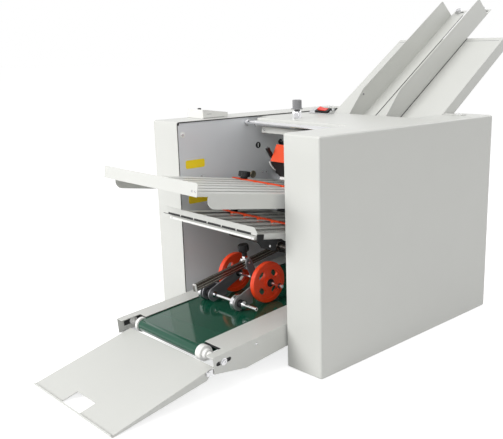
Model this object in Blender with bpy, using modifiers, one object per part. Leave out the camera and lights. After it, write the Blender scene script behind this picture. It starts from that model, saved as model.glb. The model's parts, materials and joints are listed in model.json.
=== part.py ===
"""Paper folding machine for a shop counter: two side covers, a sloped feed tray with two side
guides, six fold rollers, four fold plates, and a belt conveyor with a press unit and a tray.

Metres, +Z up, +X to the machine's right as seen from its delivery side, which faces -Y.
Sizes along Y are written from the front faces of the side covers, sizes along Z from the floor.
"""
import math

import bmesh
import bpy
from mathutils import Matrix, Vector

# Fold rollers: the last one's place, then the direction from each roller up to the one before
CONVEYOR_Z = 0.0955
ROLLER_RADIUS = 0.0204
ROLLER_PITCH = 0.0415
ROLLER_RISE = 0.0576
LAST_ROLLER_Y = 0.2937
LAST_ROLLER_Z = CONVEYOR_Z + ROLLER_RISE
ROLLER_STEPS_DEG = (-98.6, -113.9, -98.7, -113.8, -60.1)
ROLLER_1_Y = LAST_ROLLER_Y - ROLLER_PITCH * sum(math.cos(math.radians(step)) for step in ROLLER_STEPS_DEG)
ROLLER_1_Z = LAST_ROLLER_Z - ROLLER_PITCH * sum(math.sin(math.radians(step)) for step in ROLLER_STEPS_DEG)

# Driving sizes of the body: the cover is as tall as the rollers and the feeder's head need
HEAD_ROOM = 0.1530
COVER_HEIGHT = ROLLER_1_Z + HEAD_ROOM
COVER_DEPTH = 0.622
COVER_WIDTH = 0.099
COVER_WINDOW_EDGE = 0.018
COVER_WINDOW_FRONT = 0.360
COVER_WALL = 0.0015
COVER_ROUND = 0.005
OPENING_HALF = 0.1825
PLATE_RECESS = 0.0015
PLATE_THICK = 0.003
PLATE_FACE = OPENING_HALF + PLATE_RECESS
PLATE_BACK = PLATE_FACE + PLATE_THICK
SHEET = 0.0015
GAP = 0.0003
OVERRUN = 0.002
MERGE = 0.0001
CAP_MERGE = 0.00001

# Floor sheet, rear wall and power inlet
BASE_FRONT = 0.160
BASE_REAR = 0.601
BASE_Z = 0.003
BASE_FLANGE = 0.020
REAR_WALL_TOP = 0.110
INLET_X = 0.120
INLET_Z = 0.060
INLET_FACE = (0.048, 0.029)
INLET_BODY = (0.028, 0.021)
INLET_POCKET = (0.023, 0.016)
INLET_LIP = 0.003
INLET_DEPTH = 0.022
INLET_POCKET_DEPTH = 0.015

# Top cover, grip rod, cross plate
TOP_FRONT = 0.2215
TOP_REAR = 0.455
TOP_DROP = 0.003
TOP_Z = COVER_HEIGHT - TOP_DROP
TOP_FLANGE = 0.012
TOP_ROUND = 0.003
TOP_NOTCH_REAR = 0.262
GRIP_ROD_RADIUS = 0.006
GRIP_ROD_Y = 0.2145
GRIP_ROD_DROP = 0.013
GRIP_ROD_Z = TOP_Z - GRIP_ROD_DROP
CROSS_LEFT = -0.150
CROSS_FRONT = 0.235
CROSS_SHELF = 0.022
CROSS_DROP = 0.023
CROSS_HEIGHT = 0.015
CROSS_HIGH = TOP_Z - CROSS_DROP
CROSS_LOW = CROSS_HIGH - CROSS_HEIGHT

# Speed knob
KNOB_X = -0.062
KNOB_Y = 0.276
KNOB_COLLAR_RADIUS = 0.0105
KNOB_COLLAR_HEIGHT = 0.022
KNOB_SKIRT_RADIUS = 0.015
KNOB_SKIRT_HEIGHT = 0.002
KNOB_CAP_RADIUS = 0.0115
KNOB_CAP_HEIGHT = 0.021
KNOB_EDGE = 0.0015

# Switch console, bezel and rocker
CONSOLE_LEFT = -0.150
CONSOLE_WIDTH = 0.072
CONSOLE_FRONT = 0.403
CONSOLE_DEPTH = 0.026
CONSOLE_LOW = 0.002
CONSOLE_HIGH = 0.0125
BEZEL_LENGTH = 0.046
BEZEL_WIDTH = 0.020
BEZEL_HEIGHT = 0.004
BEZEL_OFFSET = 0.008
ROCKER_LENGTH = 0.029
ROCKER_WIDTH = 0.013
ROCKER_PIVOT = 0.0042
ROCKER_RISE = 0.003
ROCKER_SAG = 0.0012
ROCKER_FOOT = 0.001
ROCKER_CLEAR = 0.001
ROCKER_THROW = math.radians(9.0)

# Counter box on the left cover
COUNTER_LEFT = -0.269
COUNTER_RIGHT = -0.205
COUNTER_FRONT = 0.094
COUNTER_REAR = 0.172
COUNTER_HIGH = 0.022
COUNTER_LOW = 0.012
COUNTER_WALL = 0.002
BUTTON_RADIUS = 0.0045
BUTTON_LENGTH = 0.009
BUTTON_PROUD = 0.0035
BUTTON_INSET = 0.014

# Feed tray at the rear, in its own sloped frame
FEED_Y = 0.575
FEED_RISE = 0.016
FEED_Z = COVER_HEIGHT + FEED_RISE
FEED_SLOPE = math.radians(33.8)
FEED_HALF = 0.179
FEED_LOW_END = -0.165
FEED_TOP_END = 0.314
FEED_FLANGE = 0.030
FEED_FLANGE_ROUND = 0.022
FEED_TAB_FRONT = 0.550
FEED_TAB_REAR = 0.574
FEED_TAB_REACH = 0.235

# Paper guides on the feed tray
GUIDE_LEFT_X = -0.064
GUIDE_RIGHT_X = 0.061
GUIDE_LEG = 0.041
GUIDE_FRONT = -0.120
GUIDE_FRONT_HEIGHT = 0.030
GUIDE_STEP = -0.097
GUIDE_STEP_HEIGHT = 0.040
GUIDE_KNEE = -0.014
GUIDE_HEIGHT = 0.062
GUIDE_APEX = 0.420
GUIDE_WALL_END = 0.438
GUIDE_LEG_END = 0.462
GUIDE_APEX_ROUND = 0.006
GUIDE_KNOB_RADIUS = 0.009
GUIDE_KNOB_HEIGHT = 0.010
GUIDE_KNOB_INSET = 0.010

# Feed roller and infeed chute
FEED_ROLLER_Y = 0.4355
FEED_ROLLER_DROP = 0.0458
FEED_ROLLER_Z = COVER_HEIGHT - FEED_ROLLER_DROP
FEED_ROLLER_RADIUS = 0.025
FEED_ROLLER_HALF = 0.040
FEED_SHAFT_RADIUS = 0.006
CHUTE_REAR_Y = 0.430
CHUTE_DROP = 0.0362
CHUTE_REAR_Z = FEED_ROLLER_Z - CHUTE_DROP
CHUTE_FRONT_Y = 0.346
CHUTE_FLANGE = 0.014
CHUTE_SLOPE = math.radians(40.0)

# Fold rollers' length, journals and gears
ROLLER_HALF = 0.158
JOURNAL_RADIUS = 0.008
GEAR_TEETH = 14
GEAR_X = PLATE_BACK + 0.003
GEAR_WIDTH = 0.009
GEAR_HEAD_SHARE = 0.08
GEAR_FOOT_SHARE = 0.14
GEAR_ROOT_WIDTH_SHARE = 0.46
GEAR_TIP_WIDTH_SHARE = 0.22

# Fold plates: pocket between two slotted sheets, with side flanges and a front lip
FOLD_TILT = math.radians(-8.6)
FOLD_HALF = 0.165
FOLD_SKIN = 0.0013
FOLD_DEPTH = 0.006
FOLD_SIDE = 0.005
FOLD_SLOTS = 6
FOLD_PITCH = 0.049
FOLD_PIN_RADIUS = 0.005
UPPER_Y = 0.147
UPPER_LIFT = 0.0050
UPPER_Z = ROLLER_1_Z + UPPER_LIFT
UPPER_FRONT = -0.354
UPPER_REAR = 0.1409
UPPER_SLOT = 0.016
UPPER_SLOT_FRONT = -0.335
UPPER_SLOT_REAR = 0.121
UPPER_LIP_UP = 0.019
UPPER_LIP_DOWN = 0.007
UPPER_LIP_CHAMFER = 0.003
UPPER_FLANGE_FRONT = -0.3285
UPPER_FLANGE = 0.030
UPPER_FLANGE_ROUND = 0.018
LOWER_Y = 0.112
LOWER_DROP = 0.0715
LOWER_Z = ROLLER_1_Z - LOWER_DROP
LOWER_FRONT = -0.174
LOWER_REAR = 0.1594
LOWER_SLOT = 0.033
LOWER_SLOT_FRONT = -0.160
LOWER_SLOT_REAR = 0.141
LOWER_LIP_UP = 0.012
LOWER_LIP_DOWN = 0.012
LOWER_LIP_CHAMFER = 0.012
LIP_SLOT = 0.046
LIP_SLOT_HEIGHT = 0.0042
FRONT_RAIL_LEFT = -0.128
FRONT_RAIL_RIGHT = 0.163
FRONT_RAIL_HIGH = -0.0045
FRONT_RAIL_PROUD = 0.007
FRONT_RAIL_SLANT = 0.0025
LOWER_FLANGE_FRONT = -0.085
LOWER_FLANGE = 0.022
LOWER_PIN_SHARE = 0.7
REAR_TILT = math.radians(-15.0)
REAR_LENGTH = 0.240
REAR_FLANGE = 0.022
REAR_UPPER_Y = 0.332
REAR_UPPER_DROP = 0.0601
REAR_UPPER_Z = ROLLER_1_Z - REAR_UPPER_DROP
REAR_LOWER_Y = 0.314
REAR_LOWER_DROP = 0.1421
REAR_LOWER_Z = ROLLER_1_Z - REAR_LOWER_DROP
REAR_PIN_INSET = 0.030
FRONT_PIN_PLACES = (-0.085, 0.115)

# Stop bars and their knobs
STOP_WIDTH = 0.012
STOP_THICK = 0.003
STOP_FINGER = 0.010
STOP_FINGER_DEPTH = 0.008
STOP_KNOB_X = -0.121
STOP_KNOB_RADIUS = 0.0145
STOP_KNOB_FOOT_RADIUS = 0.009
STOP_KNOB_HEIGHT = 0.018
STOP_KNOB_FOOT = 0.005

# Catch under the lower front fold plate
CATCH_THICK = 0.004
CATCH_FRONT = -0.1766
CATCH_REAR = -0.1215
CATCH_TAB = 0.016
CATCH_TAB_HIGH = -0.0005
CATCH_HIGH = -0.012
CATCH_HOOK_LOW = -0.0205
CATCH_HEEL = (-0.124, -0.0235)
CATCH_LOW = -0.035
CATCH_TOE = -0.133
CATCH_KNEE = (-0.1616, -0.0284)
CATCH_CHIN = -0.0135

# Feeder body and its orange guard
FEEDER_HALF = 0.030
FEEDER_FRONT = 0.178
FEEDER_LIFT = 0.0202
FEEDER_NOSE = 0.0371
FEEDER_CHIN = 0.0245
FEEDER_FOOT = 0.003
FEEDER_TAPER = 0.012
FEEDER_LOW = ROLLER_1_Z + FEEDER_LIFT
FEEDER_NOSE_Z = FEEDER_LOW + FEEDER_NOSE
FEEDER_BACK = 0.206
FEEDER_ARM_FRONT = 0.240
FEEDER_ARM_BACK = 0.255
FEEDER_SHOULDER_DROP = 0.017
FEEDER_SHOULDER_Z = CROSS_LOW - FEEDER_SHOULDER_DROP
GUARD_LOW_Y = 0.154
GUARD_LIFT = 0.002
GUARD_LOW_Z = FEEDER_NOSE_Z + GUARD_LIFT
GUARD_HIGH_Y = 0.1747
GUARD_HIGH_Z = FEEDER_SHOULDER_Z + GUARD_LIFT

# Conveyor, in its own sloped frame: y runs back along the belt, z is square to it
CONVEYOR_SLOPE = math.radians(4.3)
RAIL_RIGHT_OUT = 0.178
RAIL_RIGHT_IN = 0.103
RAIL_LEFT_OUT = -0.155
RAIL_LEFT_IN = -0.109
RAIL_RIGHT_FRONT = -0.195
RAIL_LEFT_FRONT = -0.2075
RAIL_REAR = 0.355
RAIL_NOSE = 0.035
RAIL_BELLY = 0.0535
RAIL_BELLY_PLACE = -0.115
RAIL_DEEP = 0.0495
RAIL_DEEP_PLACE = -0.004
NOTCH_RIGHT_REAR = -0.157
NOTCH_LEFT_REAR = -0.161
NOTCH_RIGHT_SIDE = 0.156
NOTCH_LEFT_SIDE = -0.1325
RAIL_SLOT_HALF = 0.019
BELT_RIGHT = 0.102
BELT_LEFT = -0.108
BELT_THICK = 0.0015
BELT_DROP = 0.003
BELT_RADIUS = 0.014
BELT_AXIS = -BELT_DROP - BELT_RADIUS
BELT_FRONT = -0.1696
BELT_REAR = 0.3357
BELT_SHAFT_RADIUS = 0.004
DISC_RADIUS = 0.0165
DISC_RIGHT = 0.105
DISC_RIGHT_END = 0.120
DISC_LEFT = -0.110
DISC_LEFT_END = -0.118
BED_THICK = 0.002
BED_FRONT = -0.150
BED_REAR = 0.316
LUG_THICK = 0.002
LUG_BACK = -0.120
LUG_TOP = -0.028
LUG_BOTTOM = -0.046
LUG_FREE = 0.0015
LUG_EAR = 0.006

# Delivery tray, hinged at the conveyor's front
TRAY_HINGE_Y = -0.204
TRAY_HINGE_DROP = 0.045
TRAY_HINGE_Z = CONVEYOR_Z - TRAY_HINGE_DROP
TRAY_RIGHT = 0.172
TRAY_LEFT = -0.131
TRAY_LENGTH = 0.2175
TRAY_TAIL = 0.0175
TRAY_RAISE = 0.0045
TRAY_FLANGE = 0.018
TRAY_FLANGE_END = 0.002
TRAY_LIP = 0.004
TRAY_PIN_RADIUS = 0.003
WINDOW_RIGHT = 0.053
WINDOW_LEFT = -0.017
WINDOW_DEPTH = 0.0375

# Guide bar, its rod and the clamp
BAR_X = -0.005
BAR_WIDTH = 0.009
BAR_HIGH = 0.0045
BAR_LOW = -0.0115
BAR_CLAMP_Y = 0.048
BAR_RISE = 0.0915
BAR_CLAMP_Z = CONVEYOR_Z + BAR_RISE
BAR_SLOPE = math.radians(9.6)
BAR_FRONT = -0.151
BAR_REAR = 0.104
BAR_EYE_RADIUS = 0.011
BAR_EYE_HALF = 0.007
BAR_ROD_RADIUS = 0.006
CLAMP_SIDE = 0.017
CLAMP_LENGTH = 0.015
CLAMP_LOW = -0.0155
CLAMP_NECK_RADIUS = 0.0045
CLAMP_NECK = 0.006
CLAMP_KNOB_RADIUS = 0.0125
CLAMP_KNOB_STEM_RADIUS = 0.006
CLAMP_KNOB_STEM = 0.010
CLAMP_KNOB_HEIGHT = 0.018
CLAMP_PIN_RADIUS = 0.003
CLAMP_PIN = 0.0045

# Press wheels, axle, links and press shaft
WHEEL_PLACE = 0.0686
WHEEL_RADIUS = 0.048
WHEEL_WIDTH = 0.013
WHEEL_HUB_RADIUS = 0.011
WHEEL_HUB = 0.003
WHEEL_DISH = 0.003
WHEEL_RIM = 0.010
WHEEL_RIGHT_X = 0.043
WHEEL_LEFT_X = -0.072
WHEEL_HOLES = 4
WHEEL_HOLE_PLACE = 0.026
WHEEL_HOLE_LONG = 0.0110
WHEEL_HOLE_SHORT = 0.0065
AXLE_RADIUS = 0.004
AXLE_RIGHT = 0.099
AXLE_LEFT = -0.084
HANGER_THICK = 0.003
HANGER_HALF = 0.0095
SHAFT_PLACE = -0.0088
RING_RADIUS = 0.019
RING_WIDTH = 0.009
RING_RIGHT_X = 0.027
RING_LEFT_X = -0.0905
SHAFT_COLLAR_RADIUS = 0.009
SHAFT_COLLAR = 0.014
SHAFT_COLLAR_FREE = 0.0007
SHAFT_RIGHT = 0.096
SHAFT_LEFT = -0.097
LINK_THICK = 0.003
LINK_NOSE = 0.016
LINK_EYE = 0.012
LINK_NOSE_END = math.radians(215)
LINK_CHIN = (-0.010, -0.0148)
LINK_HEEL = (0.031, -0.023)
LINK_BACK = (0.036, -0.012)
LINK_WEB_FRONT = 0.026
LINK_WEB_LOW = -0.018
LINK_WEB_HIGH = 0.008
LINK_RIGHT_X = 0.0363
LINK_LEFT_X = -0.079
LINK_INNER_X = -0.0557

# Motor, its pulley and the drive belt
MOTOR_Y = 0.420
MOTOR_Z = 0.064
MOTOR_RADIUS = 0.045
MOTOR_LEFT = 0.030
MOTOR_RIGHT = 0.160
MOTOR_FOOT_HALF = 0.040
MOTOR_FOOT_HEIGHT = 0.030
MOTOR_NOSE = 0.010
MOTOR_NOSE_RADIUS = 0.018
MOTOR_SHAFT_RADIUS = 0.006
PULLEY_X = GEAR_X + GEAR_WIDTH + 0.003
PULLEY_WIDTH = 0.012
PULLEY_RADIUS = 0.018
PULLEY_LARGE_RADIUS = 0.026
PULLEY_RIM = 0.002
DRIVE_BELT_THICK = 0.002

# Mesh fineness
SHARP_ANGLE = math.radians(35)
ROUND_STEPS = 20
FINE_STEPS = 24
WHEEL_STEPS = 32
CORNER_STEPS = 4
HOLE_STEPS = 16

# Sloped frames: where each starts, and its turn about X
FEED = (FEED_Y, FEED_Z, FEED_SLOPE)
UPPER = (UPPER_Y, UPPER_Z, FOLD_TILT)
LOWER = (LOWER_Y, LOWER_Z, FOLD_TILT)
REAR_UPPER = (REAR_UPPER_Y, REAR_UPPER_Z, REAR_TILT)
REAR_LOWER = (REAR_LOWER_Y, REAR_LOWER_Z, REAR_TILT)
CONVEYOR = (0, CONVEYOR_Z, CONVEYOR_SLOPE)
BAR = (BAR_CLAMP_Y, BAR_CLAMP_Z, BAR_SLOPE)
CONSOLE_SLOPE = math.atan2(CONSOLE_HIGH - CONSOLE_LOW, CONSOLE_DEPTH)
CONSOLE = (CONSOLE_FRONT, TOP_Z + GAP + CONSOLE_LOW, CONSOLE_SLOPE)
TRAY_FOOT = TRAY_RAISE - SHEET - TRAY_FLANGE_END
TRAY_REACH = math.hypot(TRAY_LENGTH, TRAY_FOOT)
TRAY_SLOPE = math.atan2(TRAY_FOOT, TRAY_LENGTH) + math.asin(TRAY_HINGE_Z / TRAY_REACH)
TRAY = (TRAY_HINGE_Y, TRAY_HINGE_Z, TRAY_SLOPE)

# Finishes: colour, roughness, metallic
FINISHES = {
    "white_paint": ((0.78, 0.78, 0.75), 0.38, 0.0),
    "grey_paint": ((0.40, 0.40, 0.41), 0.42, 0.0),
    "steel": ((0.62, 0.62, 0.63), 0.28, 1.0),
    "dark_steel": ((0.16, 0.15, 0.15), 0.35, 1.0),
    "orange": ((0.86, 0.16, 0.04), 0.40, 0.0),
    "black_plastic": ((0.020, 0.020, 0.022), 0.42, 0.0),
    "grey_plastic": ((0.30, 0.30, 0.31), 0.45, 0.0),
    "red_plastic": ((0.75, 0.03, 0.02), 0.35, 0.0),
    "white_plastic": ((0.80, 0.80, 0.78), 0.40, 0.0),
    "green_belt": ((0.020, 0.110, 0.065), 0.30, 0.0),
    "rubber": ((0.035, 0.035, 0.038), 0.70, 0.0),
}


def reach(frame, y, z):
    """Machine place (y, z) of a point given in a sloped frame"""
    start_y, start_z, turn = frame
    machine_y = start_y + y * math.cos(turn) - z * math.sin(turn)
    machine_z = start_z + y * math.sin(turn) + z * math.cos(turn)
    return machine_y, machine_z


def settle(frame, y, z):
    """Place in a sloped frame of a point given in the machine's own frame"""
    start_y, start_z, turn = frame
    run = y - start_y
    rise = z - start_z
    return run * math.cos(turn) + rise * math.sin(turn), rise * math.cos(turn) - run * math.sin(turn)


def clear_scene():
    for thing in list(bpy.data.objects):
        bpy.data.objects.remove(thing, do_unlink=True)


def new_collection(name):
    home = bpy.data.collections.new(name)
    bpy.context.scene.collection.children.link(home)
    return home


def new_empty(name, frame, parent=None):
    start_y, start_z, turn = frame
    empty = bpy.data.objects.new(name, None)
    PARTS.objects.link(empty)
    empty.location = (0, start_y, start_z)
    empty.rotation_euler = (turn, 0, 0)
    empty.parent = parent
    return empty


def give_finish(thing, finish):
    colour, roughness, metallic = FINISHES[finish]
    material = bpy.data.materials.new(thing.name)
    material.use_nodes = True
    shader = material.node_tree.nodes["Principled BSDF"]
    shader.inputs["Base Color"].default_value = (*colour, 1.0)
    shader.inputs["Roughness"].default_value = roughness
    shader.inputs["Metallic"].default_value = metallic
    thing.data.materials.append(material)


def add_object(name, mesh, parent, pivot=(0, 0, 0), finish=None, smooth=False):
    """Object whose origin is the pivot; a shape with no finish is a cutter or a joined form"""
    mesh.transform(Matrix.Translation(-Vector(pivot)))
    thing = bpy.data.objects.new(name, mesh)
    thing.parent = parent
    thing.location = pivot
    if smooth:
        mesh.shade_smooth()
        mesh.set_sharp_from_angle(angle=SHARP_ANGLE)
    if finish:
        PARTS.objects.link(thing)
        give_finish(thing, finish)
    else:
        CUTTERS.objects.link(thing)
        thing.hide_render = True
        thing.display_type = 'WIRE'
    return thing


def mesh_of(name, shape):
    mesh = bpy.data.meshes.new(name)
    shape.to_mesh(mesh)
    shape.free()
    return mesh


def box_mesh(name, places):
    """One mesh of boxes, each given by its low and its high corner"""
    shape = bmesh.new()
    for low, high in places:
        made = bmesh.ops.create_cube(shape, size=1.0)
        low = Vector(low)
        high = Vector(high)
        bmesh.ops.scale(shape, vec=high - low, verts=made["verts"])
        bmesh.ops.translate(shape, vec=(low + high) / 2, verts=made["verts"])
    return mesh_of(name, shape)


def add_box(name, low, high, parent, **options):
    return add_object(name, box_mesh(name, [(low, high)]), parent, **options)


def rod_mesh(name, rods, steps):
    """One mesh of rods along X, each given by (left, right, y, z, radius)"""
    shape = bmesh.new()
    for left, right, y, z, radius in rods:
        made = bmesh.ops.create_cone(shape, cap_ends=True, segments=steps, radius1=radius,
                                     radius2=radius, depth=right - left)
        turn = Matrix.Rotation(math.pi / 2, 4, 'Y')
        place = Matrix.Translation(((left + right) / 2, y, z))
        bmesh.ops.transform(shape, matrix=place @ turn, verts=made["verts"])
    return mesh_of(name, shape)


def add_rods(name, rods, parent, steps, **options):
    return add_object(name, rod_mesh(name, rods, steps), parent, **options)


def add_turned(name, profile, parent, place, axis, finish, steps, ring=False):
    """Turned piece: the profile's (radius, place along the axis) points run down its outer side"""
    shape = bmesh.new()
    corners = [shape.verts.new((radius, 0, along)) for radius, along in profile]
    for first, second in zip(corners, corners[1:]):
        shape.edges.new((first, second))
    if ring:
        shape.edges.new((corners[-1], corners[0]))
    thing = add_object(name, mesh_of(name, shape), parent, finish=finish)
    thing.location = place
    thing.rotation_euler = {"X": (0, math.pi / 2, 0), "Z": (0, 0, 0)}[axis]
    screw = thing.modifiers.new("turn", 'SCREW')
    screw.angle = 2 * math.pi
    screw.steps = steps
    screw.render_steps = steps
    screw.use_smooth_shade = False
    screw.use_merge_vertices = True
    screw.merge_threshold = MERGE
    weld = thing.modifiers.new("weld", 'WELD')
    weld.merge_threshold = MERGE
    return thing


def plane_matrix(plane, offset):
    """YZ takes an outline's points as (y, z), XZ as (x, z) and XY as (x, y)"""
    if plane == "YZ":
        return Matrix(((0, 0, 1, offset), (1, 0, 0, 0), (0, 1, 0, 0), (0, 0, 0, 1)))
    if plane == "XZ":
        return Matrix(((1, 0, 0, 0), (0, 0, -1, offset), (0, 1, 0, 0), (0, 0, 0, 1)))
    return Matrix.Translation((0, 0, offset))


def plate_mesh(name, outlines, thick, plane, middle):
    """Flat piece: its first outline is its edge, the others are its holes"""
    curve = bpy.data.curves.new(name, 'CURVE')
    curve.dimensions = '2D'
    curve.fill_mode = 'BOTH'
    curve.extrude = thick / 2
    for outline in outlines:
        spline = curve.splines.new('POLY')
        spline.points.add(len(outline) - 1)
        for point, (across, along) in zip(spline.points, outline):
            point.co = (across, along, 0, 1)
        spline.use_cyclic_u = True
    flat = bpy.data.objects.new(name, curve)
    CUTTERS.objects.link(flat)
    depsgraph = bpy.context.evaluated_depsgraph_get()
    mesh = bpy.data.meshes.new_from_object(flat.evaluated_get(depsgraph))
    bpy.data.objects.remove(flat, do_unlink=True)
    shape = bmesh.new()
    shape.from_mesh(mesh)
    bmesh.ops.remove_doubles(shape, verts=shape.verts, dist=CAP_MERGE)
    bmesh.ops.recalc_face_normals(shape, faces=shape.faces)
    shape.to_mesh(mesh)
    shape.free()
    mesh.transform(plane_matrix(plane, middle))
    return mesh


def add_plate(name, outlines, thick, plane, middle, parent, **options):
    return add_object(name, plate_mesh(name, outlines, thick, plane, middle), parent, **options)


def add_shell(name, low, high, open_sides, wall, edge, parent, finish):
    """Sheet box: the named sides are left open, its folds are rounded, its wall lies inside"""
    shape = bmesh.new()
    bmesh.ops.create_cube(shape, size=1.0)
    low = Vector(low)
    high = Vector(high)
    bmesh.ops.scale(shape, vec=high - low, verts=shape.verts)
    bmesh.ops.translate(shape, vec=(low + high) / 2, verts=shape.verts)
    shape.normal_update()
    gone = [face for face in shape.faces for side in open_sides if face.normal.dot(side) > 0.5]
    bmesh.ops.delete(shape, geom=gone, context='FACES')
    thing = add_object(name, mesh_of(name, shape), parent, finish=finish)
    bevel = thing.modifiers.new("folds", 'BEVEL')
    bevel.width = edge
    bevel.segments = 3
    solidify = thing.modifiers.new("wall", 'SOLIDIFY')
    solidify.thickness = wall
    solidify.offset = -1
    solidify.use_even_offset = True
    return thing


def combine(thing, other, operation):
    modifier = thing.modifiers.new(operation.lower(), 'BOOLEAN')
    modifier.object = other
    modifier.operation = operation
    modifier.solver = 'EXACT'
    return thing


def join(thing, other):
    return combine(thing, other, 'UNION')


def cut(thing, other):
    return combine(thing, other, 'DIFFERENCE')


def arc(centre, radius, start, end, steps):
    """Points on an arc from one angle to another, both ends kept"""
    points = []
    for step in range(steps + 1):
        angle = start + (end - start) * step / steps
        points.append((centre[0] + radius * math.cos(angle), centre[1] + radius * math.sin(angle)))
    return points


def circle(centre, radius, steps):
    return arc(centre, radius, 0, 2 * math.pi, steps)[:-1]


def slot(centre, half_length, half_width, steps):
    """Outline of a slot along the first direction"""
    run = half_length - half_width
    right = arc((centre[0] + run, centre[1]), half_width, -math.pi / 2, math.pi / 2, steps)
    left = arc((centre[0] - run, centre[1]), half_width, math.pi / 2, 3 * math.pi / 2, steps)
    return right + left


def rounded(corners, radii):
    """Outline with an arc of the given radius at each corner; zero leaves a corner sharp"""
    outline = []
    for index, (corner, radius) in enumerate(zip(corners, radii)):
        if radius == 0:
            outline.append(corner)
            continue
        here = Vector(corner)
        before = (Vector(corners[index - 1]) - here).normalized()
        after = (Vector(corners[(index + 1) % len(corners)]) - here).normalized()
        half = before.angle(after) / 2
        centre = here + (before + after).normalized() * radius / math.sin(half)
        arm = here + before * radius / math.tan(half) - centre
        sweep = math.copysign(math.pi - 2 * half, after.x * before.y - after.y * before.x)
        for step in range(CORNER_STEPS + 1):
            turned_arm = Matrix.Rotation(sweep * step / CORNER_STEPS, 2) @ arm
            outline.append(tuple(centre + turned_arm))
    return outline


def strap(first, second, half_width, steps):
    """Outline of a link with round ends about two centres"""
    heading = math.atan2(second[1] - first[1], second[0] - first[0])
    far = arc(second, half_width, heading - math.pi / 2, heading + math.pi / 2, steps)
    near = arc(first, half_width, heading + math.pi / 2, heading + 3 * math.pi / 2, steps)
    return far + near


def loop(first, first_radius, second, second_radius, steps):
    """Outline of a belt's run round two circles"""
    heading = math.atan2(second[1] - first[1], second[0] - first[0])
    distance = math.hypot(second[0] - first[0], second[1] - first[1])
    lean = math.acos((first_radius - second_radius) / distance)
    near = arc(first, first_radius, heading + lean, heading + 2 * math.pi - lean, steps)
    far = arc(second, second_radius, heading - lean, heading + lean, steps)
    return near + far


def make_covers():
    for name, side in (("right_side_cover", 1), ("left_side_cover", -1)):
        reach_x = sorted((side * OPENING_HALF, side * (OPENING_HALF + COVER_WIDTH)))
        low = (reach_x[0], 0, 0)
        high = (reach_x[1], COVER_DEPTH, COVER_HEIGHT)
        cover = add_shell(name, low, high, [Vector((-side, 0, 0))], COVER_WALL, COVER_ROUND, MACHINE,
                          "white_paint")
        cut(cover, add_box("cover_window", (low[0] + COVER_WINDOW_EDGE, COVER_WINDOW_FRONT, -OVERRUN),
                           (high[0] - COVER_WINDOW_EDGE, COVER_DEPTH - COVER_WINDOW_EDGE,
                            COVER_WALL + OVERRUN), MACHINE))


def roller_places():
    """Centres (y, z) of the six fold rollers, each a pitch from the last"""
    places = [(ROLLER_1_Y, ROLLER_1_Z)]
    for heading in ROLLER_STEPS_DEG:
        angle = math.radians(heading)
        last_y, last_z = places[-1]
        places.append((last_y + ROLLER_PITCH * math.cos(angle), last_z + ROLLER_PITCH * math.sin(angle)))
    return places


def shaft_places():
    """Every shaft or rod that the side plates carry: (y, z, radius)"""
    shafts = [(y, z, JOURNAL_RADIUS) for y, z in roller_places()]
    shafts.append((FEED_ROLLER_Y, FEED_ROLLER_Z, FEED_SHAFT_RADIUS))
    shafts.append((GRIP_ROD_Y, GRIP_ROD_Z, GRIP_ROD_RADIUS))
    shafts.append((*reach(CONVEYOR, BELT_REAR, BELT_AXIS), BELT_SHAFT_RADIUS))
    shafts.append((*reach(BAR, BAR_REAR, 0), BAR_ROD_RADIUS))
    shafts.append((MOTOR_Y, MOTOR_Z, MOTOR_SHAFT_RADIUS))
    return shafts


def make_side_plates():
    inset = COVER_WALL + GAP
    edge = rounded([(inset, inset), (COVER_DEPTH - inset, inset),
                    (COVER_DEPTH - inset, COVER_HEIGHT - inset), (inset, COVER_HEIGHT - inset)],
                   [COVER_ROUND] * 4)
    bores = [circle((y, z), radius + GAP, HOLE_STEPS) for y, z, radius in shaft_places()]
    middle = PLATE_FACE + PLATE_THICK / 2
    add_plate("right_side_plate", [edge] + bores, PLATE_THICK, "YZ", middle, MACHINE, finish="grey_paint")
    add_plate("left_side_plate", [edge] + bores, PLATE_THICK, "YZ", -middle, MACHINE, finish="grey_paint")


def make_base():
    half = PLATE_FACE - GAP
    base = add_shell("base_plate", (-half, BASE_FRONT, BASE_Z), (half, BASE_REAR, BASE_Z + BASE_FLANGE),
                     [Vector((0, 0, 1)), Vector((0, -1, 0)), Vector((0, 1, 0))], SHEET, TOP_ROUND,
                     MACHINE, "white_paint")
    wall = add_box("rear_wall", (-half + SHEET / 2, BASE_REAR - SHEET / 2, BASE_Z + SHEET / 2),
                   (half - SHEET / 2, BASE_REAR + SHEET / 2, REAR_WALL_TOP), MACHINE)
    join(base, wall)
    reach_x = INLET_BODY[0] / 2 + GAP
    reach_z = INLET_BODY[1] / 2 + GAP
    hole = add_box("inlet_hole", (INLET_X - reach_x, BASE_REAR - SHEET - OVERRUN, INLET_Z - reach_z),
                   (INLET_X + reach_x, BASE_REAR + SHEET + OVERRUN, INLET_Z + reach_z), MACHINE)
    cut(base, hole)


def make_power_inlet():
    outside = BASE_REAR + SHEET / 2 + GAP
    face_x, face_z = INLET_FACE
    inlet = add_box("power_inlet", (INLET_X - face_x / 2, outside, INLET_Z - face_z / 2),
                    (INLET_X + face_x / 2, outside + INLET_LIP, INLET_Z + face_z / 2),
                    MACHINE, finish="black_plastic")
    body_x, body_z = INLET_BODY
    body = add_box("inlet_body", (INLET_X - body_x / 2, outside - INLET_DEPTH, INLET_Z - body_z / 2),
                   (INLET_X + body_x / 2, outside + INLET_LIP / 2, INLET_Z + body_z / 2), MACHINE)
    join(inlet, body)
    pocket_x, pocket_z = INLET_POCKET
    floor = outside + INLET_LIP - INLET_POCKET_DEPTH
    pocket = add_box("inlet_pocket", (INLET_X - pocket_x / 2, floor, INLET_Z - pocket_z / 2),
                     (INLET_X + pocket_x / 2, outside + INLET_LIP + OVERRUN, INLET_Z + pocket_z / 2),
                     MACHINE)
    cut(inlet, pocket)


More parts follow.
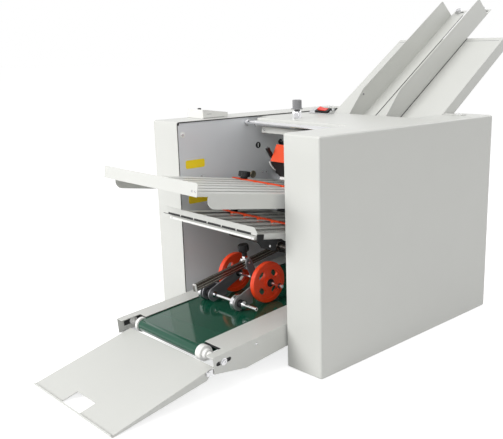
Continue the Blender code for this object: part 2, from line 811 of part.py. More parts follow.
def make_top():
    half = PLATE_FACE - GAP
    top = add_shell("top_cover", (-half, TOP_FRONT, TOP_Z - TOP_FLANGE), (half, TOP_REAR, TOP_Z),
                    [Vector((0, 0, -1)), Vector((0, 1, 0))], SHEET, TOP_ROUND, MACHINE, "white_paint")
    cut(top, add_box("top_notch", (-half - OVERRUN, TOP_FRONT - OVERRUN, TOP_Z - TOP_FLANGE - OVERRUN),
                     (CROSS_LEFT, TOP_NOTCH_REAR, TOP_Z + OVERRUN), MACHINE))
    add_rods("grip_rod", [(-PLATE_BACK, PLATE_BACK, GRIP_ROD_Y, GRIP_ROD_Z, GRIP_ROD_RADIUS)],
             MACHINE, ROUND_STEPS, finish="steel", smooth=True)
    face = [(CROSS_FRONT, CROSS_LOW), (CROSS_FRONT + SHEET, CROSS_LOW),
            (CROSS_FRONT + SHEET, CROSS_HIGH - SHEET), (CROSS_FRONT + CROSS_SHELF, CROSS_HIGH - SHEET),
            (CROSS_FRONT + CROSS_SHELF, CROSS_HIGH), (CROSS_FRONT, CROSS_HIGH)]
    width = half - CROSS_LEFT
    add_plate("cross_plate", [face], width, "YZ", CROSS_LEFT + width / 2, MACHINE, finish="white_paint")


def make_speed_knob():
    collar = KNOB_COLLAR_HEIGHT
    skirt = collar + KNOB_SKIRT_HEIGHT
    top = skirt + KNOB_CAP_HEIGHT
    profile = [(0, top), (KNOB_CAP_RADIUS - KNOB_EDGE, top), (KNOB_CAP_RADIUS, top - KNOB_EDGE),
               (KNOB_CAP_RADIUS, skirt), (KNOB_SKIRT_RADIUS, skirt), (KNOB_SKIRT_RADIUS, collar),
               (KNOB_COLLAR_RADIUS, collar), (KNOB_COLLAR_RADIUS, 0), (0, 0)]
    add_turned("speed_knob", profile, MACHINE, (KNOB_X, KNOB_Y, TOP_Z + GAP), "Z", "grey_plastic",
               ROUND_STEPS)


def make_switch():
    base = TOP_Z + GAP
    rear = CONSOLE_FRONT + CONSOLE_DEPTH
    side = [(CONSOLE_FRONT, base), (rear, base), (rear, base + CONSOLE_HIGH),
            (CONSOLE_FRONT, base + CONSOLE_LOW)]
    add_plate("switch_console", [side], CONSOLE_WIDTH, "YZ", CONSOLE_LEFT + CONSOLE_WIDTH / 2, MACHINE,
              finish="steel")
    slope_length = math.hypot(CONSOLE_DEPTH, CONSOLE_HIGH - CONSOLE_LOW)
    middle_x = CONSOLE_LEFT + CONSOLE_WIDTH / 2 + BEZEL_OFFSET
    middle_y = slope_length / 2
    bezel = add_box("switch_bezel", (middle_x - BEZEL_LENGTH / 2, middle_y - BEZEL_WIDTH / 2, GAP),
                    (middle_x + BEZEL_LENGTH / 2, middle_y + BEZEL_WIDTH / 2, BEZEL_HEIGHT),
                    CONSOLE_FRAME, finish="black_plastic")
    well_x = ROCKER_LENGTH / 2 + ROCKER_CLEAR
    well_y = ROCKER_WIDTH / 2 + GAP
    well = add_box("switch_well", (middle_x - well_x, middle_y - well_y, -OVERRUN),
                   (middle_x + well_x, middle_y + well_y, BEZEL_HEIGHT + OVERRUN), CONSOLE_FRAME)
    cut(bezel, well)
    half = ROCKER_LENGTH / 2
    shape = [(-half, -ROCKER_FOOT), (half, -ROCKER_FOOT), (half, ROCKER_RISE),
             (0, ROCKER_RISE - ROCKER_SAG), (-half, ROCKER_RISE)]
    rocker = add_plate("power_rocker", [shape], ROCKER_WIDTH, "XZ", 0, CONSOLE_FRAME, finish="red_plastic")
    rocker.location = (middle_x, middle_y, ROCKER_PIVOT)
    rocker.rotation_euler = (0, ROCKER_THROW, 0)


def make_counter():
    middle = (COUNTER_LEFT + COUNTER_RIGHT) / 2
    width = COUNTER_RIGHT - COUNTER_LEFT
    low = COVER_HEIGHT + GAP
    outer = [(COUNTER_FRONT, low), (COUNTER_REAR, low), (COUNTER_REAR, low + COUNTER_LOW),
             (COUNTER_FRONT, low + COUNTER_HIGH)]
    box = add_plate("counter_box", [outer], width, "YZ", middle, MACHINE, finish="white_plastic")
    wall = COUNTER_WALL
    inner = [(COUNTER_FRONT + wall, low - OVERRUN), (COUNTER_REAR - wall, low - OVERRUN),
             (COUNTER_REAR - wall, low + COUNTER_LOW - wall), (COUNTER_FRONT + wall, low + COUNTER_HIGH - wall)]
    hollow = add_plate("counter_hollow", [inner], width - 2 * wall, "YZ", middle, MACHINE)
    cut(box, hollow)
    button_y = COUNTER_FRONT + BUTTON_INSET
    fall = (COUNTER_HIGH - COUNTER_LOW) / (COUNTER_REAR - COUNTER_FRONT)
    roof = low + COUNTER_HIGH - fall * BUTTON_INSET
    bore = add_upright("button_bore", middle, button_y, low + wall, roof + COUNTER_HIGH, BUTTON_RADIUS + GAP)
    cut(box, bore)
    button_top = roof + BUTTON_PROUD
    add_upright("counter_reset_button", middle, button_y, button_top - BUTTON_LENGTH, button_top,
                BUTTON_RADIUS, finish="black_plastic")


def add_upright(name, x, y, low, high, radius, **options):
    """Round bar along Z with its origin at its foot"""
    shape = bmesh.new()
    bmesh.ops.create_cone(shape, cap_ends=True, segments=ROUND_STEPS, radius1=radius, radius2=radius,
                          depth=high - low)
    bmesh.ops.translate(shape, vec=(x, y, (low + high) / 2), verts=shape.verts)
    return add_object(name, mesh_of(name, shape), MACHINE, pivot=(x, y, low), smooth=True, **options)


def make_feed_tray():
    inner = FEED_HALF - SHEET / 2
    tray = add_box("feed_tray", (-inner, FEED_LOW_END, -SHEET), (inner, FEED_TOP_END, 0), FEED_FRAME,
                   finish="white_paint")
    edge = rounded([(FEED_LOW_END, -SHEET / 2), (FEED_LOW_END, -FEED_FLANGE),
                    (FEED_TOP_END, -FEED_FLANGE), (FEED_TOP_END, -SHEET / 2)],
                   [0, 0, FEED_FLANGE_ROUND, 0])
    for side in (1, -1):
        middle = side * (FEED_HALF - SHEET / 2)
        join(tray, add_plate("feed_flange", [edge], SHEET, "YZ", middle, FEED_FRAME))
        tab_x = sorted((side * (FEED_HALF - SHEET / 2), side * FEED_TAB_REACH))
        tab_low = COVER_HEIGHT + GAP
        join(tray, add_box("feed_tab", (tab_x[0], FEED_TAB_FRONT, tab_low),
                           (tab_x[1], FEED_TAB_REAR, tab_low + SHEET), MACHINE))


def make_guides():
    for name, wall_x, inward in (("left_paper_guide", GUIDE_LEFT_X, 1), ("right_paper_guide", GUIDE_RIGHT_X, -1)):
        bottom = GAP + SHEET / 2
        edge = rounded([(GUIDE_FRONT, bottom), (GUIDE_WALL_END, bottom), (GUIDE_APEX, GUIDE_HEIGHT),
                        (GUIDE_KNEE, GUIDE_HEIGHT), (GUIDE_STEP, GUIDE_STEP_HEIGHT),
                        (GUIDE_FRONT, GUIDE_FRONT_HEIGHT)], [0, 0, GUIDE_APEX_ROUND, 0, 0, 0])
        guide = add_plate(name, [edge], SHEET, "YZ", wall_x, FEED_FRAME, finish="white_paint")
        leg_x = sorted((wall_x, wall_x + inward * GUIDE_LEG))
        leg = add_box("guide_leg", (leg_x[0], GUIDE_FRONT + SHEET, GAP),
                      (leg_x[1], GUIDE_LEG_END, GAP + SHEET), FEED_FRAME)
        join(guide, leg)
        knob_x = wall_x + inward * GUIDE_LEG / 2
        knob_place = (knob_x, GUIDE_LEG_END - GUIDE_KNOB_INSET, 2 * GAP + SHEET)
        profile = [(0, GUIDE_KNOB_HEIGHT), (GUIDE_KNOB_RADIUS, GUIDE_KNOB_HEIGHT), (GUIDE_KNOB_RADIUS, 0), (0, 0)]
        add_turned(name.replace("paper_guide", "guide_knob"), profile, FEED_FRAME, knob_place, "Z", "steel",
                   ROUND_STEPS)


def make_feed_roller():
    end = PLATE_BACK
    profile = [(0, end), (FEED_SHAFT_RADIUS, end), (FEED_SHAFT_RADIUS, FEED_ROLLER_HALF),
               (FEED_ROLLER_RADIUS, FEED_ROLLER_HALF), (FEED_ROLLER_RADIUS, -FEED_ROLLER_HALF),
               (FEED_SHAFT_RADIUS, -FEED_ROLLER_HALF), (FEED_SHAFT_RADIUS, -end), (0, -end)]
    add_turned("feed_roller", profile, MACHINE, (0, FEED_ROLLER_Y, FEED_ROLLER_Z), "X", "rubber", FINE_STEPS)


def make_chute():
    length = (CHUTE_REAR_Y - CHUTE_FRONT_Y) / math.cos(CHUTE_SLOPE)
    half = PLATE_FACE - GAP
    add_shell("infeed_chute", (-half, -length, -CHUTE_FLANGE), (half, 0, 0),
              [Vector((0, 0, -1)), Vector((0, 1, 0)), Vector((0, -1, 0))], SHEET, TOP_ROUND,
              CHUTE_FRAME, "white_paint")


def gear_outline(centre, phase):
    """Spur gear with straight-sided teeth and running clearance at head and flank"""
    pitch_radius = ROLLER_PITCH / 2
    head = pitch_radius * (1 + GEAR_HEAD_SHARE)
    foot = pitch_radius * (1 - GEAR_FOOT_SHARE)
    step = 2 * math.pi / GEAR_TEETH
    outline = []
    for tooth in range(GEAR_TEETH):
        middle = phase + tooth * step
        for radius, share in ((foot, -GEAR_ROOT_WIDTH_SHARE), (head, -GEAR_TIP_WIDTH_SHARE),
                              (head, GEAR_TIP_WIDTH_SHARE), (foot, GEAR_ROOT_WIDTH_SHARE)):
            angle = middle + share * step / 2
            outline.append((centre[0] + radius * math.cos(angle), centre[1] + radius * math.sin(angle)))
    return outline


def make_fold_rollers():
    places = roller_places()
    step = 2 * math.pi / GEAR_TEETH
    phase = 0
    for index, (y, z) in enumerate(places):
        last = index == len(places) - 1
        end = PULLEY_X + PULLEY_WIDTH if last else GEAR_X + GEAR_WIDTH + SHEET
        profile = [(0, end), (JOURNAL_RADIUS, end), (JOURNAL_RADIUS, ROLLER_HALF), (ROLLER_RADIUS, ROLLER_HALF),
                   (ROLLER_RADIUS, -ROLLER_HALF), (JOURNAL_RADIUS, -ROLLER_HALF),
                   (JOURNAL_RADIUS, -PLATE_BACK), (0, -PLATE_BACK)]
        if last:
            profile[2:2] = [(JOURNAL_RADIUS, end - PULLEY_RIM), (PULLEY_LARGE_RADIUS, end - PULLEY_RIM),
                            (PULLEY_LARGE_RADIUS, PULLEY_X), (JOURNAL_RADIUS, PULLEY_X)]
        roller = add_turned(f"fold_roller_{index + 1}", profile, MACHINE, (0, y, z), "X", "rubber", ROUND_STEPS)
        gear = add_plate(f"gear_{index + 1}", [gear_outline((y, z), phase)], GEAR_WIDTH, "YZ",
                         GEAR_X + GEAR_WIDTH / 2, MACHINE)
        join(roller, gear)
        if not last:
            heading = math.radians(ROLLER_STEPS_DEG[index])
            phase = 2 * heading + math.pi - phase + step / 2


def pocket_plate(name, frame, front, rear, slot_width, slot_front, slot_rear, mouth):
    """Two slotted sheets with the paper's pocket between them, open at the mouth"""
    half = FOLD_HALF - SHEET / 2
    plate = add_box(name, (-half, front, -FOLD_DEPTH), (half, rear, 0), frame, finish="white_paint")
    inside = FOLD_HALF - FOLD_SIDE
    pocket_front = front - OVERRUN if mouth == "front" else front + FOLD_SIDE
    pocket_rear = rear + OVERRUN if mouth == "rear" else rear - FOLD_SIDE
    pocket = add_box(f"{name}_pocket", (-inside, pocket_front, FOLD_SKIN - FOLD_DEPTH),
                     (inside, pocket_rear, -FOLD_SKIN), frame)
    cut(plate, pocket)
    if slot_width:
        places = []
        for index in range(FOLD_SLOTS):
            middle = (index - (FOLD_SLOTS - 1) / 2) * FOLD_PITCH
            places.append(((middle - slot_width / 2, slot_front, -FOLD_DEPTH - OVERRUN),
                           (middle + slot_width / 2, slot_rear, OVERRUN)))
        cut(plate, add_object(f"{name}_slots", box_mesh(f"{name}_slots", places), frame))
    return plate


def add_flanges(plate, frame, edge, pins):
    """Side flanges, and the pins that hook the plate between the side plates"""
    flange_inside = FOLD_HALF - SHEET
    for side in (1, -1):
        middle = side * (FOLD_HALF - SHEET / 2)
        join(plate, add_plate("fold_flange", [edge], SHEET, "YZ", middle, frame))
        ends = sorted((side * (flange_inside + GAP), side * (PLATE_FACE - GAP)))
        rods = [(ends[0], ends[1], y, z, FOLD_PIN_RADIUS) for y, z in pins]
        join(plate, add_rods("fold_pins", rods, frame, HOLE_STEPS))


def add_lip(plate, frame, front, up, down, chamfer):
    half = FOLD_HALF + GAP
    edge = [(-half, -down), (half, -down), (half, up - chamfer), (half - chamfer, up), (-half, up)]
    join(plate, add_plate("fold_lip", [edge], SHEET, "XZ", front, frame))


def make_front_fold_plates():
    upper = pocket_plate("upper_front_fold_plate", UPPER_FRAME, UPPER_FRONT, UPPER_REAR, UPPER_SLOT,
                         UPPER_SLOT_FRONT, UPPER_SLOT_REAR, "rear")
    edge = rounded([(UPPER_FLANGE_FRONT, -FOLD_SKIN), (UPPER_FLANGE_FRONT, -UPPER_FLANGE),
                    (UPPER_REAR - FOLD_SIDE, -UPPER_FLANGE), (UPPER_REAR - FOLD_SIDE, -FOLD_SKIN)],
                   [0, UPPER_FLANGE_ROUND, 0, 0])
    add_flanges(upper, UPPER_FRAME, edge, [(y, -UPPER_FLANGE / 2) for y in FRONT_PIN_PLACES])
    add_lip(upper, UPPER_FRAME, UPPER_FRONT, UPPER_LIP_UP, UPPER_LIP_DOWN, UPPER_LIP_CHAMFER)
    lower = pocket_plate("lower_front_fold_plate", LOWER_FRAME, LOWER_FRONT, LOWER_REAR, LOWER_SLOT,
                         LOWER_SLOT_FRONT, LOWER_SLOT_REAR, "rear")
    edge = [(LOWER_FRONT + FOLD_SIDE, -FOLD_SKIN), (LOWER_FRONT + FOLD_SIDE, -LOWER_LIP_DOWN),
            (LOWER_FLANGE_FRONT - LOWER_FLANGE, -LOWER_LIP_DOWN), (LOWER_FLANGE_FRONT, -LOWER_FLANGE),
            (LOWER_REAR - FOLD_SIDE, -LOWER_FLANGE), (LOWER_REAR - FOLD_SIDE, -FOLD_SKIN)]
    add_flanges(lower, LOWER_FRAME, edge, [(y, -LOWER_FLANGE * LOWER_PIN_SHARE) for y in FRONT_PIN_PLACES])
    add_lip(lower, LOWER_FRAME, LOWER_FRONT, LOWER_LIP_UP, LOWER_LIP_DOWN, LOWER_LIP_CHAMFER)
    places = []
    for index in range(FOLD_SLOTS):
        middle = (index - (FOLD_SLOTS - 1) / 2) * FOLD_PITCH
        places.append(((middle - LIP_SLOT / 2, LOWER_FRONT - OVERRUN, -LIP_SLOT_HEIGHT),
                       (middle + LIP_SLOT / 2, LOWER_FRONT + OVERRUN, 0)))
    cut(lower, add_object("lip_slots", box_mesh("lip_slots", places), LOWER_FRAME))
    proud = LOWER_FRONT - FRONT_RAIL_PROUD
    section = [(LOWER_FRONT, FRONT_RAIL_HIGH), (proud, FRONT_RAIL_HIGH - FRONT_RAIL_SLANT),
               (proud, -LOWER_LIP_DOWN), (LOWER_FRONT, -LOWER_LIP_DOWN)]
    middle = (FRONT_RAIL_LEFT + FRONT_RAIL_RIGHT) / 2
    join(lower, add_plate("front_rail", [section], FRONT_RAIL_RIGHT - FRONT_RAIL_LEFT, "YZ", middle, LOWER_FRAME))


def make_rear_fold_plates():
    for name, frame in (("upper_rear_fold_plate", REAR_UPPER_FRAME), ("lower_rear_fold_plate", REAR_LOWER_FRAME)):
        plate = pocket_plate(name, frame, 0, REAR_LENGTH, 0, 0, 0, "front")
        edge = [(FOLD_SIDE, -FOLD_SKIN), (FOLD_SIDE, -REAR_FLANGE),
                (REAR_LENGTH - FOLD_SIDE, -REAR_FLANGE), (REAR_LENGTH - FOLD_SIDE, -FOLD_SKIN)]
        pins = [(REAR_PIN_INSET, -REAR_FLANGE / 2), (REAR_LENGTH - REAR_PIN_INSET, -REAR_FLANGE / 2)]
        add_flanges(plate, frame, edge, pins)


def make_stops():
    """Each stop bar is a comb whose fingers reach through the plate's slots and stop the paper"""
    half = FOLD_HALF - FOLD_SIDE
    for name, frame in (("upper", UPPER_FRAME), ("lower", LOWER_FRAME)):
        outline = [(half, STOP_THICK), (-half, STOP_THICK), (-half, GAP)]
        for index in range(FOLD_SLOTS):
            middle = (index - (FOLD_SLOTS - 1) / 2) * FOLD_PITCH
            left = middle - STOP_FINGER / 2
            right = middle + STOP_FINGER / 2
            outline += [(left, GAP), (left, -STOP_FINGER_DEPTH), (right, -STOP_FINGER_DEPTH), (right, GAP)]
        outline.append((half, GAP))
        add_plate(f"{name}_stop_bar", [outline], STOP_WIDTH, "XZ", 0, frame, finish="orange")
        profile = [(0, STOP_KNOB_HEIGHT), (STOP_KNOB_RADIUS - KNOB_EDGE, STOP_KNOB_HEIGHT),
                   (STOP_KNOB_RADIUS, STOP_KNOB_HEIGHT - KNOB_EDGE), (STOP_KNOB_RADIUS, STOP_KNOB_FOOT),
                   (STOP_KNOB_FOOT_RADIUS, STOP_KNOB_FOOT), (STOP_KNOB_FOOT_RADIUS, 0), (0, 0)]
        add_turned(f"{name}_stop_knob", profile, frame, (STOP_KNOB_X, 0, STOP_THICK + GAP), "Z",
                   "black_plastic", ROUND_STEPS)


def make_catch():
    heel_y = CATCH_HEEL[0]
    outline = [(CATCH_FRONT, CATCH_TAB_HIGH), (CATCH_FRONT, CATCH_CHIN), CATCH_KNEE, (CATCH_TOE, CATCH_LOW),
               (heel_y, CATCH_LOW), CATCH_HEEL, (CATCH_REAR, CATCH_HOOK_LOW), (CATCH_REAR, CATCH_HIGH),
               (CATCH_FRONT + CATCH_TAB, CATCH_HIGH), (CATCH_FRONT + CATCH_TAB, CATCH_TAB_HIGH)]
    middle = FOLD_HALF + 2 * GAP + CATCH_THICK / 2
    add_plate("lower_plate_catch", [outline], CATCH_THICK, "YZ", middle, LOWER_FRAME, finish="black_plastic")


def make_feeder():
    outline = [(FEEDER_BACK, FEEDER_LOW), (FEEDER_BACK, FEEDER_SHOULDER_Z), (FEEDER_ARM_BACK, FEEDER_SHOULDER_Z),
               (FEEDER_ARM_BACK, CROSS_LOW - GAP), (FEEDER_ARM_FRONT - FEEDER_TAPER, CROSS_LOW - GAP),
               (FEEDER_FRONT, FEEDER_SHOULDER_Z), (FEEDER_FRONT, FEEDER_NOSE_Z),
               (FEEDER_FRONT - FEEDER_CHIN, FEEDER_NOSE_Z), (FEEDER_FRONT + FEEDER_FOOT, FEEDER_LOW)]
    add_plate("feeder_body", [outline], 2 * FEEDER_HALF, "YZ", 0, MACHINE, finish="black_plastic")
    seat = FEEDER_FRONT - GAP
    guard = [(GUARD_LOW_Y, GUARD_LOW_Z), (seat, GUARD_LOW_Z), (seat, GUARD_HIGH_Z),
             (GUARD_HIGH_Y, GUARD_HIGH_Z)]
    add_plate("feed_guard", [guard], 2 * FEEDER_HALF, "YZ", 0, MACHINE, finish="orange")


def make_rails():
    right = (RAIL_RIGHT_IN, RAIL_RIGHT_OUT, NOTCH_RIGHT_SIDE, NOTCH_RIGHT_REAR, RAIL_RIGHT_FRONT, 1)
    left = (RAIL_LEFT_IN, RAIL_LEFT_OUT, NOTCH_LEFT_SIDE, NOTCH_LEFT_REAR, RAIL_LEFT_FRONT, -1)
    for name, sizes in (("right_conveyor_rail", right), ("left_conveyor_rail", left)):
        inner, outer, notch, notch_rear, front, side = sizes
        edge = outer - side * SHEET / 2
        top = [(inner, RAIL_REAR), (edge, RAIL_REAR), (edge, front), (notch, front), (notch, notch_rear),
               (inner, notch_rear)]
        rail = add_plate(name, [top], SHEET, "XY", -SHEET / 2, CONVEYOR_FRAME, finish="white_paint")
        web = [(front, -SHEET / 2), (front, -RAIL_NOSE), (RAIL_BELLY_PLACE, -RAIL_BELLY),
               (RAIL_DEEP_PLACE, -RAIL_DEEP), (RAIL_REAR, -RAIL_DEEP), (RAIL_REAR, -SHEET / 2)]
        front_slot = slot((BELT_FRONT, BELT_AXIS), RAIL_SLOT_HALF, BELT_SHAFT_RADIUS + GAP, CORNER_STEPS)
        rear_bore = circle((BELT_REAR, BELT_AXIS), BELT_SHAFT_RADIUS + GAP, HOLE_STEPS)
        middle = outer - side * SHEET / 2
        join(rail, add_plate("rail_web", [web, front_slot, rear_bore], SHEET, "YZ", middle, CONVEYOR_FRAME))


def make_bed():
    left = RAIL_LEFT_OUT + SHEET + GAP
    right = RAIL_RIGHT_OUT - SHEET - GAP
    high = -BELT_DROP - BELT_THICK - GAP
    bed = add_box("conveyor_bed", (left, BED_FRONT, high - BED_THICK), (right, BED_REAR, high), CONVEYOR_FRAME,
                  finish="steel")
    hinge_y, hinge_z = settle(CONVEYOR, TRAY_HINGE_Y, TRAY_HINGE_Z)
    inside = high - BED_THICK / 2
    ear = arc((hinge_y, hinge_z), LUG_EAR, math.pi / 2, 3 * math.pi / 2, CORNER_STEPS)
    lug = [(LUG_BACK, inside), (BED_FRONT + LUG_THICK, inside), (BED_FRONT + LUG_THICK, LUG_TOP)]
    lug += ear + [(LUG_BACK, LUG_BOTTOM)]
    hole = circle((hinge_y, hinge_z), TRAY_PIN_RADIUS + GAP, HOLE_STEPS)
    for middle in (TRAY_RIGHT + LUG_FREE + LUG_THICK / 2, TRAY_LEFT - LUG_FREE - LUG_THICK / 2):
        join(bed, add_plate("hinge_lug", [lug, hole], LUG_THICK, "YZ", middle, CONVEYOR_FRAME))


def make_belt():
    front = (BELT_FRONT, BELT_AXIS)
    rear = (BELT_REAR, BELT_AXIS)
    inner_radius = BELT_RADIUS - BELT_THICK
    outer = loop(front, BELT_RADIUS, rear, BELT_RADIUS, ROUND_STEPS // 2)
    inner = loop(front, inner_radius, rear, inner_radius, ROUND_STEPS // 2)
    add_plate("conveyor_belt", [outer, inner], BELT_RIGHT - BELT_LEFT, "YZ", (BELT_RIGHT + BELT_LEFT) / 2,
              CONVEYOR_FRAME, finish="green_belt")


def make_conveyor_rollers():
    radius = BELT_RADIUS - BELT_THICK - GAP
    shaft = BELT_SHAFT_RADIUS
    front = [(0, RAIL_RIGHT_OUT), (shaft, RAIL_RIGHT_OUT), (shaft, DISC_RIGHT_END), (DISC_RADIUS, DISC_RIGHT_END),
             (DISC_RADIUS, DISC_RIGHT), (radius, DISC_RIGHT), (radius, DISC_LEFT), (DISC_RADIUS, DISC_LEFT),
             (DISC_RADIUS, DISC_LEFT_END), (shaft, DISC_LEFT_END), (shaft, RAIL_LEFT_OUT), (0, RAIL_LEFT_OUT)]
    add_turned("conveyor_front_roller", front, CONVEYOR_FRAME, (0, BELT_FRONT, BELT_AXIS), "X",
               "white_plastic", FINE_STEPS)
    drive = [(0, PLATE_BACK), (shaft, PLATE_BACK), (shaft, BELT_RIGHT), (radius, BELT_RIGHT), (radius, BELT_LEFT),
             (shaft, BELT_LEFT), (shaft, -PLATE_BACK), (0, -PLATE_BACK)]
    add_turned("conveyor_drive_roller", drive, CONVEYOR_FRAME, (0, BELT_REAR, BELT_AXIS), "X", "steel", ROUND_STEPS)


def make_paper_tray():
    left = TRAY_LEFT + SHEET / 2
    right = TRAY_RIGHT - SHEET / 2
    ear = 2 * TRAY_PIN_RADIUS
    tray = add_box("paper_tray", (left, -TRAY_LENGTH, TRAY_RAISE - SHEET), (right, TRAY_TAIL, TRAY_RAISE),
                   TRAY_FRAME, finish="white_paint")
    low_end = TRAY_RAISE - SHEET - TRAY_FLANGE_END
    edge = rounded([(-TRAY_LENGTH, TRAY_RAISE - SHEET / 2), (-TRAY_LENGTH, low_end),
                    (-ear, TRAY_RAISE - TRAY_FLANGE), (ear, -ear), (ear, TRAY_RAISE - SHEET / 2)],
                   [0, 0, 0, TRAY_PIN_RADIUS, TRAY_PIN_RADIUS])
    for side, outer in ((1, TRAY_RIGHT), (-1, TRAY_LEFT)):
        join(tray, add_plate("tray_flange", [edge], SHEET, "YZ", outer - side * SHEET / 2, TRAY_FRAME))
        ends = sorted((outer - side * SHEET / 2, outer + side * (LUG_FREE + LUG_THICK)))
        join(tray, add_rods("tray_pin", [(ends[0], ends[1], 0, 0, TRAY_PIN_RADIUS)], TRAY_FRAME, HOLE_STEPS))
    lip_low = TRAY_RAISE - SHEET / 2
    join(tray, add_box("tray_lip", (left - GAP, -TRAY_LENGTH - SHEET / 2, lip_low),
                       (right + GAP, -TRAY_LENGTH + SHEET / 2, TRAY_RAISE + TRAY_LIP), TRAY_FRAME))
    cut(tray, add_box("tray_window", (WINDOW_LEFT, -TRAY_LENGTH + SHEET, TRAY_RAISE - SHEET - OVERRUN),
                      (WINDOW_RIGHT, -TRAY_LENGTH + WINDOW_DEPTH, TRAY_RAISE + OVERRUN), TRAY_FRAME))


def make_guide_bar():
    half = BAR_WIDTH / 2
    bar = add_box("guide_bar", (BAR_X - half, BAR_FRONT, BAR_LOW), (BAR_X + half, BAR_REAR, BAR_HIGH), BAR_FRAME,
                  finish="dark_steel")
    eye = (BAR_X - BAR_EYE_HALF, BAR_X + BAR_EYE_HALF, BAR_REAR, 0, BAR_EYE_RADIUS)
    join(bar, add_rods("bar_eye", [eye], BAR_FRAME, ROUND_STEPS))
    bore = (-PLATE_FACE, PLATE_FACE, BAR_REAR, 0, BAR_ROD_RADIUS + GAP)
    cut(bar, add_rods("bar_bore", [bore], BAR_FRAME, HOLE_STEPS))
    rod = (-PLATE_BACK, PLATE_BACK, BAR_REAR, 0, BAR_ROD_RADIUS)
    add_rods("bar_support_rod", [rod], BAR_FRAME, ROUND_STEPS, finish="steel", smooth=True)


def make_clamp():
    half = CLAMP_SIDE / 2
    along = CLAMP_LENGTH / 2
    clamp = add_box("bar_clamp", (BAR_X - half, -along, CLAMP_LOW), (BAR_X + half, along, half), BAR_FRAME,
                    finish="steel")
    pin_end = BAR_X + half + CLAMP_PIN
    join(clamp, add_rods("clamp_pin", [(BAR_X + half / 2, pin_end, 0, 0, CLAMP_PIN_RADIUS)], BAR_FRAME,
                         HOLE_STEPS))
    inside = BAR_WIDTH / 2 + GAP
    join(clamp, add_box("clamp_neck", (BAR_X - CLAMP_NECK_RADIUS, -CLAMP_NECK_RADIUS, half - GAP),
                        (BAR_X + CLAMP_NECK_RADIUS, CLAMP_NECK_RADIUS, half + CLAMP_NECK), BAR_FRAME))
    cut(clamp, add_box("clamp_bore", (BAR_X - inside, -along - OVERRUN, BAR_LOW - GAP),
                       (BAR_X + inside, along + OVERRUN, BAR_HIGH + GAP), BAR_FRAME))
    stem = CLAMP_KNOB_STEM
    top = stem + CLAMP_KNOB_HEIGHT
    profile = [(0, top), (CLAMP_KNOB_RADIUS - KNOB_EDGE, top), (CLAMP_KNOB_RADIUS, top - KNOB_EDGE),
               (CLAMP_KNOB_RADIUS, stem), (CLAMP_KNOB_STEM_RADIUS, stem), (CLAMP_KNOB_STEM_RADIUS, 0), (0, 0)]
    add_turned("clamp_knob", profile, BAR_FRAME, (BAR_X, 0, half + CLAMP_NECK + GAP), "Z", "black_plastic",
               ROUND_STEPS)


